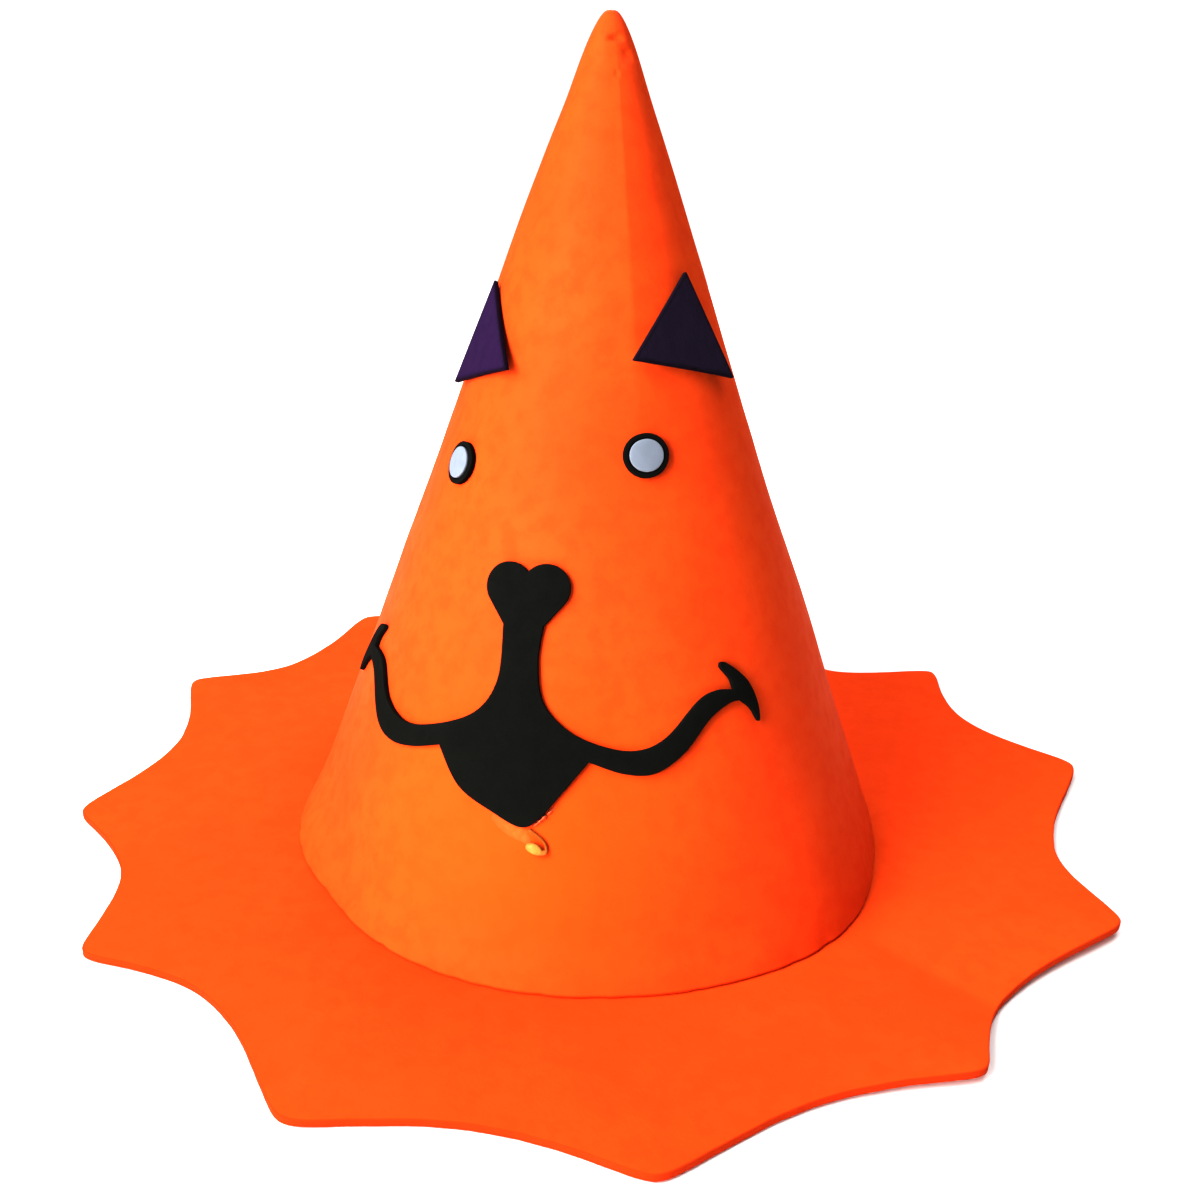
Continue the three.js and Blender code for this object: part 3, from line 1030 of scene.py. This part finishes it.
@dataclass
class Brim:
    """The flat ring of orange felt with its twelve points."""

    form: CrownForm
    felt: float = 2.2
    softness: float = 0.1
    opening_inset: float = 3.2
    side_steps: int = 20
    rings: int = 28
    rim_share: float = 0.988
    edge_softness: float = 0.25
    wobble: Sequence[tuple[float, float]] = ((16, 0.35), (5, 0.12))
    tip_crowding: float = 1.5
    crease_azimuth: float = 64.0
    crease_half: float = 17.0
    crease_height: float = 2.0
    crease_rise: Point2 = (0.1, 0.4)
    swell_height: float = 0.35
    swell_size: float = 45.0
    swell_layer: float = 7.0
    swell_rise: Point2 = (0.12, 0.6)
    lift_rise: Point2 = (0.3, 1.0)

    def fall(self, share: float) -> float:
        """Gives the edge's shape between a tip (share 0) and a valley (share 1)."""
        run = math.hypot(share, self.softness) - self.softness
        return (1 - run / (math.hypot(1, self.softness) - self.softness)) ** 2

    def stations(self) -> list[tuple[float, float, float]]:
        """Gives the azimuth, the edge's radius and the lift of each station round the brim.

        Returns:
            The stations, once round.
        """
        found = []
        shares = [(step / self.side_steps) ** self.tip_crowding for step in range(self.side_steps)]
        for index, row in enumerate(BRIM_POINTS):
            after = BRIM_POINTS[(index + 1) % len(BRIM_POINTS)]
            turn = 360 if after.tip_azimuth < row.tip_azimuth else 0
            falling = [self.station(row, row, 0, share) for share in shares]
            rising = [self.station(row, after, turn, share) for share in shares]
            valley = (row.valley_azimuth, row.valley_radius, 0.0)
            found += [*falling, valley, *reversed(rising[1:])]
        return found

    def station(
        self, row: BrimPoint, tip: BrimPoint, turn: float, share: float
    ) -> tuple[float, float, float]:
        """Gives one station between a tip and the valley of a row.

        Args:
            row: the row that holds the valley.
            tip: the row that holds the tip.
            turn: degrees to add to the tip's azimuth.
            share: 0 at the tip and 1 at the valley.

        Returns:
            The azimuth, the edge's radius and the lift.
        """
        azimuth = tip.tip_azimuth + turn
        fall = self.fall(share)
        return (
            azimuth + (row.valley_azimuth - azimuth) * share,
            row.valley_radius + (tip.tip_radius - row.valley_radius) * fall,
            tip.lift * fall,
        )

    def build(self, material: bpy.types.Material) -> bpy.types.Object:
        """Spins a flat ring and moves it out to the opening and the points.

        Args:
            material: the felt's finish.

        Returns:
            The brim.
        """
        stations = self.stations()
        mesh = bmesh.new()
        shares = [self.rim_share * ring / self.rings for ring in range(self.rings + 1)]
        line_profile(mesh, [polar(1 + share, 0, 0) for share in (*shares, 1)])
        spin_profile(mesh, len(stations))
        edge = mesh.verts.layers.float.new("edge")
        for vert in mesh.verts:
            share = vert.co.xy.length - 1
            turn = azimuth_of(vert.co) / 360 % 1
            azimuth, radius, lift = stations[round(turn * len(stations)) % len(stations)]
            vert[edge] = ease(self.rim_share, 1.0, share)
            vert.co = self.place(azimuth, radius, lift, share)
        face_out(mesh)
        trim = Trim(self.felt, self.edge_softness)
        return finish_piece(mesh, "brim_felt", material, "brim", trim)

    def place(self, azimuth: float, radius: float, lift: float, share: float) -> Vector:
        """Gives a place on the brim's upper side.

        Args:
            azimuth: degrees from the front.
            radius: the edge's radius there.
            lift: how far the edge stands off the floor.
            share: 0 at the opening and 1 at the edge.

        Returns:
            The point in millimetres.
        """
        inner = self.form.point(azimuth, self.form.base, self.opening_inset)
        outer = polar(radius, azimuth, 0)
        outer *= 1 + sum(depth * noise.noise(outer / size) for size, depth in self.wobble) / radius
        point = inner.lerp(outer, share)
        aside = wrap_degrees(azimuth - self.crease_azimuth) / self.crease_half
        fold = max(0.0, bump(aside / 2) - ridge(aside))
        crease = self.crease_height * fold * ease(*self.crease_rise, share)
        layer = Vector((point.x, point.y, self.swell_layer))
        swell = self.swell_height * (1 + noise.noise(layer / self.swell_size)) * ease(*self.swell_rise, share)
        point.z = self.felt + crease + swell + lift * ease(*self.lift_rise, share)
        return point


@dataclass
class Ear:
    """A dark felt triangle, glued high on the crown."""

    form: CrownForm
    side: Side
    middle: Point2
    turn: float
    lean: float
    base: float
    height: float
    slot: Slot
    felt: float = 1.4
    stiffness: float = 0.85
    cell: float = 1.1
    sheet_share: float = 0.62
    corner: float = 0.25
    rim_room: float = 0.5
    worn_reach: float = 1.2
    softness: float = 0.28

    def build(self, material: bpy.types.Material) -> bpy.types.Object:
        """Cuts the triangle from a sheet and lays it on the crown.

        Args:
            material: the felt's finish.

        Returns:
            The ear.
        """
        corners = [
            Vector((-self.base / 2, -self.height / 3, 0)),
            Vector((self.base / 2, -self.height / 3, 0)),
            Vector((self.lean, self.height * 2 / 3, 0)),
        ]
        spin = Matrix.Rotation(math.radians(self.turn), 3, "Z")
        corners = [spin @ corner for corner in corners]
        mesh = bmesh.new()
        cells = math.ceil(self.base / self.cell)
        bmesh.ops.create_grid(mesh, x_segments=cells, y_segments=cells, size=self.base * self.sheet_share)
        for start, end in zip(corners, corners[1:] + corners[:1]):
            self.cut(mesh, start, (end - start).cross(Vector((0, 0, 1))))
        for corner in corners:
            outward = corner.normalized()
            self.cut(mesh, corner - outward * self.corner, outward)
        self.clear_rim(mesh)
        set_attribute(mesh, "edge", lambda vert: 1 - ease(0, self.worn_reach, self.to_edge(vert.co, corners)))
        bmesh.ops.translate(mesh, vec=(*self.middle, self.felt), verts=mesh.verts[:])
        face_out(mesh)
        self.form.lay(mesh, SEAT_GAP, self.stiffness, self.middle)
        name = f"ear_{self.side.value}"
        return finish_piece(mesh, f"{name}_felt", material, name, Trim(self.felt, self.softness))

    @staticmethod
    def cut(mesh: bmesh.types.BMesh, through: Vector, outward: Vector) -> None:
        """Cuts the sheet along a line and drops what lies outward of it.

        Args:
            mesh: the sheet.
            through: a point of the line.
            outward: the direction that is dropped.
        """
        geometry = mesh.verts[:] + mesh.edges[:] + mesh.faces[:]
        line = {"plane_co": through, "plane_no": outward}
        bmesh.ops.bisect_plane(mesh, geom=geometry, dist=MERGE_DISTANCE, clear_outer=True, **line)

    def clear_rim(self, mesh: bmesh.types.BMesh) -> None:
        """Welds inner vertices near the cut edge to it, so that the soft edge has room.

        Args:
            mesh: the cut sheet.
        """
        rim = [vert for vert in mesh.verts if vert.is_boundary]
        welded = {}
        for vert in mesh.verts:
            nearest = min(rim, key=lambda other: (other.co - vert.co).length)
            if not vert.is_boundary and (nearest.co - vert.co).length < self.rim_room:
                welded[vert] = nearest
        bmesh.ops.weld_verts(mesh, targetmap=welded)

    @staticmethod
    def to_edge(point: Vector, corners: Sequence[Vector]) -> float:
        """Gives a point's distance from the nearest side of the triangle.

        Args:
            point: the point.
            corners: the triangle's corners.

        Returns:
            The distance.
        """
        found = []
        for start, end in zip(corners, [*corners[1:], corners[0]]):
            along = (end - start).normalized()
            found.append(abs(along.x * (point.y - start.y) - along.y * (point.x - start.x)))
        return min(found)


@dataclass
class Eye:
    """A black felt disc with a smaller pale one set in it."""

    form: CrownForm
    side: Side
    middle: Point2
    disc_radius: float = 6.1
    disc_felt: float = 1.5
    pale_radius: float = 4.5
    pale_felt: float = 1.1
    pocket_floor: float = 0.6
    rim_round: float = 0.32
    pocket_round: float = 0.15
    round_steps: int = 4
    crowning: Sequence[Point2] = ((0.7, 0.08), (0.35, 0.12), (0, 0.12))
    worn_reach: float = 0.5
    segments: int = 72

    def build(self, black: bpy.types.Material, pale: bpy.types.Material) -> list[bpy.types.Object]:
        """Turns both discs and lays them on the crown.

        Args:
            black: the finish of the disc.
            pale: the finish of the pale disc.

        Returns:
            The disc and the pale disc.
        """
        pocket = self.pale_radius + SEAT_GAP
        disc = [
            (0, 0), (self.disc_radius, 0),
            *self.corner(self.disc_radius, self.disc_felt, self.rim_round, 1),
            *reversed(self.corner(pocket, self.disc_felt, self.pocket_round, -1)),
            (pocket, self.pocket_floor), (pocket / 2, self.pocket_floor), (0, self.pocket_floor),
        ]
        pale_rows = [
            (0, 0), (self.pale_radius, 0),
            *self.corner(self.pale_radius, self.pale_felt, self.rim_round, 1),
            *((self.pale_radius * share, self.pale_felt + rise) for share, rise in self.crowning),
        ]
        pale_lift = SEAT_GAP + self.pocket_floor + SEAT_GAP
        return [
            self.turned(disc, SEAT_GAP, f"eye_disc_{self.side.value}", black),
            self.turned(pale_rows, pale_lift, f"eye_white_{self.side.value}", pale),
        ]

    def corner(self, radius: float, top: float, size: float, outward: int) -> list[Point2]:
        """Gives the rounded corner at the top of a rim, from the rim's wall to its top.

        Args:
            radius: the rim's radius.
            top: the rim's height.
            size: the corner's radius.
            outward: 1 for an outer rim, -1 for a pocket's.

        Returns:
            Radius and height of the corner's points.
        """
        found = []
        for step in range(self.round_steps + 1):
            turn = math.pi / 2 * step / self.round_steps
            found.append((radius - outward * size * (1 - math.cos(turn)), top - size * (1 - math.sin(turn))))
        return found

    def turned(
        self, rows: Sequence[Point2], lift: float, node: str, material: bpy.types.Material
    ) -> bpy.types.Object:
        """Turns a half profile into a round piece and lays it on the crown.

        Args:
            rows: radius and height of the profile's points.
            lift: the seat's distance from the wall.
            node: the CAD node that the piece stands for.
            material: its finish.

        Returns:
            The piece.
        """
        mesh = bmesh.new()
        line_profile(mesh, [Vector((radius, 0, height)) for radius, height in rows])
        spin_profile(mesh, self.segments)
        close_skin(mesh)
        outer = max(radius for radius, _ in rows)
        set_attribute(mesh, "edge", lambda vert: ease(outer - self.worn_reach, outer, vert.co.xy.length))
        bmesh.ops.translate(mesh, vec=(*self.middle, 0), verts=mesh.verts[:])
        self.form.lay(mesh, lift)
        return finish_piece(mesh, f"{node}_felt", material, node)


@dataclass(frozen=True)
class NoseLobe:
    """A round lobe of the nose, in the flat pattern."""

    x: float
    y: float
    radius: float

    def leaving(self, corner: Point2, side: int) -> float:
        """Gives the angle at which a straight edge to a corner leaves the lobe, past the corner by side."""
        toward = math.atan2(corner[1] - self.y, corner[0] - self.x)
        return toward + side * math.acos(self.radius / math.dist((self.x, self.y), corner))

    def edge(self, start: float, end: float, steps: int) -> list[Vector]:
        """Goes clockwise round the lobe from one angle to another.

        Args:
            start: the first angle.
            end: the last angle.
            steps: the number of steps.

        Returns:
            The points.
        """
        sweep = (end - start) % -FULL_TURN
        turns = [start + sweep * step / steps for step in range(steps + 1)]
        return [
            Vector((self.x + self.radius * math.cos(turn), self.y + self.radius * math.sin(turn)))
            for turn in turns
        ]


LEFT_LOBE = NoseLobe(-2.2, -166.1, 6.5)
RIGHT_LOBE = NoseLobe(8.1, -165.3, 6.5)
MUZZLE_EDGE = {
    "right smile top": (
        (9, -175.5), (9, -185), (12, -195.5), (20, -202), (30, -204.7), (39, -204.3), (46, -199.7),
        (53, -189.2), (58, -185.5), (63, -184.5),
    ),
    "right tick": (
        (63, -184.5), (61.5, -181.8), (58, -179), (59.5, -177.6), (67, -181.2), (71.5, -186.8),
        (72.8, -192), (69.5, -188.9), (65.7, -187.1),
    ),
    "right smile bottom": (
        (65.7, -187.1), (62, -188.6), (57, -193.5), (51.5, -203), (44.5, -209.6), (36, -211), (26.3, -209.3),
    ),
    "chin": (
        (26.3, -209.3), (21, -218), (15.5, -226.5), (11, -229.3), (3, -226.8), (-8, -221.9), (-16.2, -212.2),
    ),
    "left smile bottom": (
        (-16.2, -212.2), (-27, -214.8), (-37, -214.8), (-46, -210.6), (-57, -198.2), (-66.5, -193.8),
    ),
    "left tick": (
        (-66.5, -193.8), (-74, -196.3), (-79.3, -199.3), (-78.9, -195.3), (-70.6, -187.6), (-63.5, -183.8),
        (-57.8, -184.3), (-63, -187.9), (-64.2, -190.5),
    ),
    "left smile top": (
        (-64.2, -190.5), (-52.5, -193.7), (-43, -203.8), (-31.5, -208.6), (-18.5, -206.8), (-6.5, -201.2),
        (-1.3, -191.5), (-2, -176.5),
    ),
}


@dataclass
class Muzzle:
    """The black felt cut-out: nose, neck, smile with its two ticks, and chin."""

    form: CrownForm
    felt: float = 1.4
    softness: float = 0.22
    lobe_steps: int = 40
    steps_per_row: int = 8
    point_room: float = 0.02
    longest_edge: float = 3.2
    refinements: int = 4
    worn_reach: float = 0.9

    def outline(self) -> list[Vector]:
        """Gives the cut-out's edge, once round clockwise.

        Returns:
            The edge's points in the flat pattern.
        """
        left, right = LEFT_LOBE, RIGHT_LOBE
        facing = math.atan2(right.y - left.y, right.x - left.x)
        apart = math.dist((left.x, left.y), (right.x, right.y))
        notch = math.acos(apart / (left.radius + right.radius))
        left_neck, right_neck = MUZZLE_EDGE["left smile top"][-1], MUZZLE_EDGE["right smile top"][0]
        found = left.edge(left.leaving(left_neck, -1), facing + notch, self.lobe_steps)
        found += right.edge(facing + math.pi - notch, right.leaving(right_neck, 1), self.lobe_steps)
        found.append(Vector(right_neck))
        for rows in MUZZLE_EDGE.values():
            found += Spline(rows).run((len(rows) - 1) * self.steps_per_row)[1:]
        return found

    def build(self, material: bpy.types.Material) -> bpy.types.Object:
        """Fills the outline, refines it and lays it on the crown.

        Args:
            material: the felt's finish.

        Returns:
            The muzzle.
        """
        mesh = bmesh.new()
        drawn = line_profile(mesh, [point.to_3d() for point in self.outline()])
        mesh.edges.new((drawn[-1], drawn[0]))
        bmesh.ops.remove_doubles(mesh, verts=mesh.verts[:], dist=self.point_room)
        rim = [vert.co.copy() for vert in mesh.verts]
        bmesh.ops.triangle_fill(mesh, edges=mesh.edges[:], use_beauty=True)
        for _ in range(self.refinements):
            long = [edge for edge in self.inner_edges(mesh) if edge.calc_length() > self.longest_edge]
            bmesh.ops.subdivide_edges(mesh, edges=long, cuts=1)
            bmesh.ops.triangulate(mesh, faces=mesh.faces[:])
            bmesh.ops.beautify_fill(mesh, faces=mesh.faces[:], edges=self.inner_edges(mesh))

        def edge_tone(vert: bmesh.types.BMVert) -> float:
            """Gives how near a vertex is to the cut edge."""
            return 1 - ease(0, self.worn_reach, min((vert.co - at).length for at in rim))

        set_attribute(mesh, "edge", edge_tone)
        bmesh.ops.translate(mesh, vec=(0, 0, self.felt), verts=mesh.verts[:])
        face_out(mesh)
        self.form.lay(mesh, SEAT_GAP)
        trim = Trim(self.felt, self.softness)
        return finish_piece(mesh, "muzzle_felt", material, "muzzle", trim)

    @staticmethod
    def inner_edges(mesh: bmesh.types.BMesh) -> list[bmesh.types.BMEdge]:
        """Gives the edges that aren't on the cut-out's outline."""
        return [edge for edge in mesh.edges if not edge.is_boundary]


@dataclass
class LightDrop:
    """The small light below the chin: a resin drop with its lead, and the glue that holds it."""

    form: CrownForm
    path: Sequence[Point2] = (
        (13.4, -233.7), (15.6, -234.2), (17.8, -235),
        (18.9, -234.2), (17.9, -232.3), (15.9, -230.9), (13.4, -229.7),
    )
    profile: Sequence[Point2] = (
        (0, 0), (0.005, 0.45), (0.016, 0.8), (0.036, 1.03), (0.064, 1.2), (0.104, 1.36), (0.16, 1.45),
        (0.207, 1.42), (0.255, 1.3), (0.295, 1.04), (0.327, 0.8), (0.36, 0.72), (0.4, 0.7), (0.42, 0.56),
        (0.44, 0.42),
    )
    lead_radius: float = 0.4
    lead_rings: int = 7
    lead_from: float = 0.32
    lead_to: float = 0.48
    seat: float = 1.5
    lead_seat: float = 0.45
    segments: int = 28
    lit_facing: Point2 = (-0.1, 0.9)
    lit_along: Sequence[tuple[float, float, float]] = (
        (-0.12, 0.12, 1), (0.26, 0.36, -0.35), (0.4, 0.47, -0.62),
    )
    ribbon_cells: int = 12
    ribbon_lift: float = 0.09
    film: Sequence[tuple[float, float, float]] = (
        (2.9, -227.5, 1.4), (6, -229, 2.6), (9.2, -230.4, 3), (12, -231.8, 2.6), (14, -233.6, 1.2),
    )
    film_height: float = 0.22
    film_end_share: float = 0.25
    film_top: float = 0.5625
    film_half: float = 0.625
    film_steps: int = 40
    film_fade: float = 0.7
    bead: Sequence[Point2] = ((13.9, -229), (15.45, -227.5), (17.4, -225.1), (19.7, -222.3))
    bead_half: float = 0.6
    bead_lumps: float = 0.5
    bead_waves: float = 9.0
    bead_layer: Point2 = (0.3, 4.1)
    bead_least: float = 0.08
    bead_ends: float = 0.05
    bead_rise: float = 1.7
    bead_steps: int = 60
    bead_fade: float = 0.1

    def build(self) -> list[bpy.types.Object]:
        """Builds the drop with its lead, the film of glue and the glue along the chin.

        Returns:
            The pieces.
        """
        return [
            self.drop(LIT_RESIN.make()),
            self.glue_film(GLUE_RESIN.make()),
            self.glue_bead(DRIED_GLUE.make()),
        ]

    def rows(self) -> list[Point2]:
        """Gives the places along the path and the radii of the drop, its nub and its lead.

        Returns:
            The share of the path and the radius of each ring.
        """
        start = self.profile[-1][0]
        rings = [start + (1 - start) * ring / self.lead_rings for ring in range(1, self.lead_rings + 1)]
        return [*self.profile, *((along, self.lead_radius) for along in rings), (1, 0)]

    def drop(self, resin: bpy.types.Material) -> bpy.types.Object:
        """Turns the drop and bends it along its path on the crown.

        Args:
            resin: the drop's finish.

        Returns:
            The drop.
        """
        path = Spline(self.path)
        mesh = bmesh.new()
        line_profile(mesh, [Vector((radius, 0, along)) for along, radius in self.rows()])
        spin_profile(mesh, self.segments)
        lit = mesh.verts.layers.float.new("lit")
        for vert in mesh.verts:
            across, outward, share = vert.co
            middle, along = path.at(share), path.tangent(share)
            thin = ease(self.lead_from, self.lead_to, share)
            lift = SEAT_GAP + self.seat + (self.lead_seat - self.seat) * thin
            facing = ease(*self.lit_facing, outward / max(0.1, math.hypot(across, outward)))
            vert[lit] = facing * sum(gain * ease(start, end, share) for start, end, gain in self.lit_along)
            flat = middle + Vector((along.y, -along.x)) * across
            vert.co = self.form.on_crown(flat.x, flat.y, lift + outward)
        close_skin(mesh)
        return finish_piece(mesh, "light_drop", resin, "light")

    def ribbon(
        self,
        path: Sequence[Point2],
        width: Callable[[float], float],
        height: Callable[[float], float],
        steps: int,
        fade: float,
    ) -> bmesh.types.BMesh:
        """Draws a low rounded ribbon along a path of the pattern.

        Args:
            path: the ribbon's middle line.
            width: half its width at a share of the length.
            height: its height at a share of the length.
            steps: rings along it.
            fade: share of the length over which its colour comes up.

        Returns:
            The mesh, laid on the crown.
        """
        curve = Spline(path)
        mesh = bmesh.new()
        bmesh.ops.create_grid(mesh, x_segments=steps, y_segments=self.ribbon_cells, size=0.5)
        lit = mesh.verts.layers.float.new("lit")
        for vert in mesh.verts:
            share, across = vert.co.x + 0.5, vert.co.y * 2
            along = curve.tangent(share)
            flat = curve.at(share) + Vector((-along.y, along.x)) * (across * width(share))
            # On the glue the lit share is painted glow of the light drop.
            vert[lit] = bump(across) * ease(0, fade, share)
            vert.co = (flat.x, flat.y, bump(across) * height(share))
        self.form.lay(mesh, self.ribbon_lift)
        mesh.normal_update()
        return mesh

    def glue_film(self, glue: bpy.types.Material) -> bpy.types.Object:
        """Lays the thin film of glue between the chin and the drop.

        Args:
            glue: the film's finish.

        Returns:
            The film.
        """
        widths = Spline([(index / (len(self.film) - 1), row[2]) for index, row in enumerate(self.film)])

        def width(share: float) -> float:
            """Gives half the film's width."""
            return widths.plain(share).y

        def height(share: float) -> float:
            """Gives the film's height, thin at both ends."""
            hill = bump((share - self.film_top) / self.film_half)
            return self.film_height * (self.film_end_share + (1 - self.film_end_share) * hill)

        path = [row[:2] for row in self.film]
        mesh = self.ribbon(path, width, height, self.film_steps, self.film_fade)
        return finish_piece(mesh, "light_glue_film", glue)

    def glue_bead(self, glue: bpy.types.Material) -> bpy.types.Object:
        """Lays the lumpy line of glue along the chin's right edge.

        Args:
            glue: the bead's finish.

        Returns:
            The bead.
        """

        def lump(share: float) -> float:
            """Gives the bead's uneven half-width.

            Args:
                share: 0 at the bead's start and 1 at its end.

            Returns:
                Half the width in millimetres.
            """
            wave = noise.noise(Vector((share * self.bead_waves, *self.bead_layer)))
            inner = self.bead_ends + (1 - 2 * self.bead_ends) * share
            full = (self.bead_half + self.bead_lumps * wave) * math.sin(math.pi * inner)
            return max(self.bead_least, full)

        def height(share: float) -> float:
            """Gives the bead's height."""
            return self.bead_rise * lump(share)

        mesh = self.ribbon(self.bead, lump, height, self.bead_steps, self.bead_fade)
        return finish_piece(mesh, "light_glue_bead", glue)


# The studio


@dataclass
class AreaLamp:
    """A soft square lamp that looks at the hat."""

    name: str
    azimuth: float
    elevation: float
    distance: float
    size: float
    power: float

    def build(self, target: Vector) -> None:
        """Hangs the lamp.

        Args:
            target: what it looks at.
        """
        data = bpy.data.lights.new(self.name, "AREA")
        data.shape = "SQUARE"
        data.size = self.size
        data.energy = self.power
        lamp = put_in_scene(self.name, data)
        rise = math.radians(self.elevation)
        away = polar(math.cos(rise), self.azimuth, math.sin(rise))
        lamp.location = target + away * self.distance
        lamp.rotation_euler = away.to_track_quat("Z", "Y").to_euler()


@dataclass
class Studio:
    """Pale floor, soft light and the camera at the photograph's angle."""

    camera_at: Vector = field(default_factory=lambda: Vector((0.1273, -0.37406, 0.2391)))
    heading: float = 18.7
    tilt: float = 67.0
    roll: float = 1.58
    lens: float = 40.262
    sensor: float = 36.0
    near: float = 0.01
    floor_radius: float = 1.0
    floor_segments: int = 96
    lamp_aim: Vector = field(default_factory=lambda: Vector((0, 0, 0.1)))
    fill_overhead: float = 1.0
    fill_narrowing: float = 3.0
    backdrop: float = 1.1
    view_gamma: float = 0.714
    lamps: Sequence[AreaLamp] = (
        AreaLamp("key lamp", -35, 35, 1.25, 0.8, 33),
        AreaLamp("front lamp", -18, 12, 1.25, 0.6, 17),
        AreaLamp("left back lamp", -150, 35, 1.25, 0.6, 9),
        AreaLamp("right back lamp", 150, 60, 1.25, 0.6, 10),
    )

    def build(self) -> None:
        """Makes the camera, the floor, the lamps and the world's light."""
        self.make_camera()
        self.make_floor()
        for lamp in self.lamps:
            lamp.build(self.lamp_aim)
        self.make_world()
        bpy.context.scene.view_settings.view_transform = "Standard"
        bpy.context.scene.view_settings.gamma = self.view_gamma

    def make_camera(self) -> None:
        """Sets the camera where the photograph was taken from."""
        data = bpy.data.cameras.new("photo camera")
        data.lens = self.lens
        data.sensor_width = self.sensor
        data.clip_start = self.near
        camera = put_in_scene("photo camera", data)
        turn = Matrix.Rotation(math.radians(self.heading), 4, "Z")
        turn @= Matrix.Rotation(math.radians(self.tilt), 4, "X")
        turn @= Matrix.Rotation(math.radians(self.roll), 4, "Z")
        camera.matrix_world = Matrix.Translation(self.camera_at) @ turn
        bpy.context.scene.camera = camera

    def make_floor(self) -> None:
        """Lays the round pale floor."""
        mesh = bmesh.new()
        bmesh.ops.create_circle(mesh, cap_ends=True, segments=self.floor_segments, radius=self.floor_radius)
        floor = put_mesh_in_scene(mesh, "floor", PALE_FLOOR.make())

    def make_world(self) -> None:
        """Gives a soft fill, stronger from above, and white where the view passes the floor."""
        pen = NodePen(bpy.data.worlds.new("studio"), "OutputWorld")
        toward = pen.add("TexCoord").outputs["Generated"]
        upward = {0: pen.add("SeparateXYZ", {0: toward}).outputs["Z"], 1: self.fill_narrowing}
        rise = pen.add("Math", upward, operation="POWER", use_clamp=True).outputs[0]
        level = pen.math("MULTIPLY", rise, self.fill_overhead)
        white = (1, 1, 1, 1)
        fill = pen.add("Background", {"Color": white, "Strength": level})
        backdrop = pen.add("Background", {"Color": white, "Strength": self.backdrop})
        seen = pen.add("LightPath").outputs["Is Camera Ray"]
        mix = pen.add("MixShader", {0: seen, 1: fill.outputs[0], 2: backdrop.outputs[0]})
        bpy.context.scene.world = pen.close(mix)


def main() -> None:
    """Builds the studio and the hat's pieces in order and notes their size."""
    logging.basicConfig(level=logging.INFO, format="%(name)s: %(message)s")
    Studio().build()
    form = CrownForm()
    black, pale = BLACK_FELT.make(), PALE_FELT.make()
    crown = Crown(form).build(ORANGE_FELT.make())
    brim = Brim(form).build(BRIM_FELT.make())
    left_ear = Ear(
        form, Side.LEFT, middle=(-27.4, -99.9), turn=0.8, lean=-3.4, base=36.8, height=28.4, slot=Slot.PURPLE
    )
    right_ear = Ear(
        form, Side.RIGHT, middle=(34.9, -92), turn=6.4, lean=-0.5, base=35.4, height=26.9, slot=Slot.NAVY
    )
    face = [left_ear.build(PURPLE_FELT.make()), right_ear.build(NAVY_FELT.make())]
    for side, middle in ((Side.LEFT, (-27.5, -134.4)), (Side.RIGHT, (28.6, -126.1))):
        face += Eye(form, side, middle).build(black, pale)
    face.append(Muzzle(form).build(black))
    LightDrop(form).build()


if __name__ == "__main__":
    main()
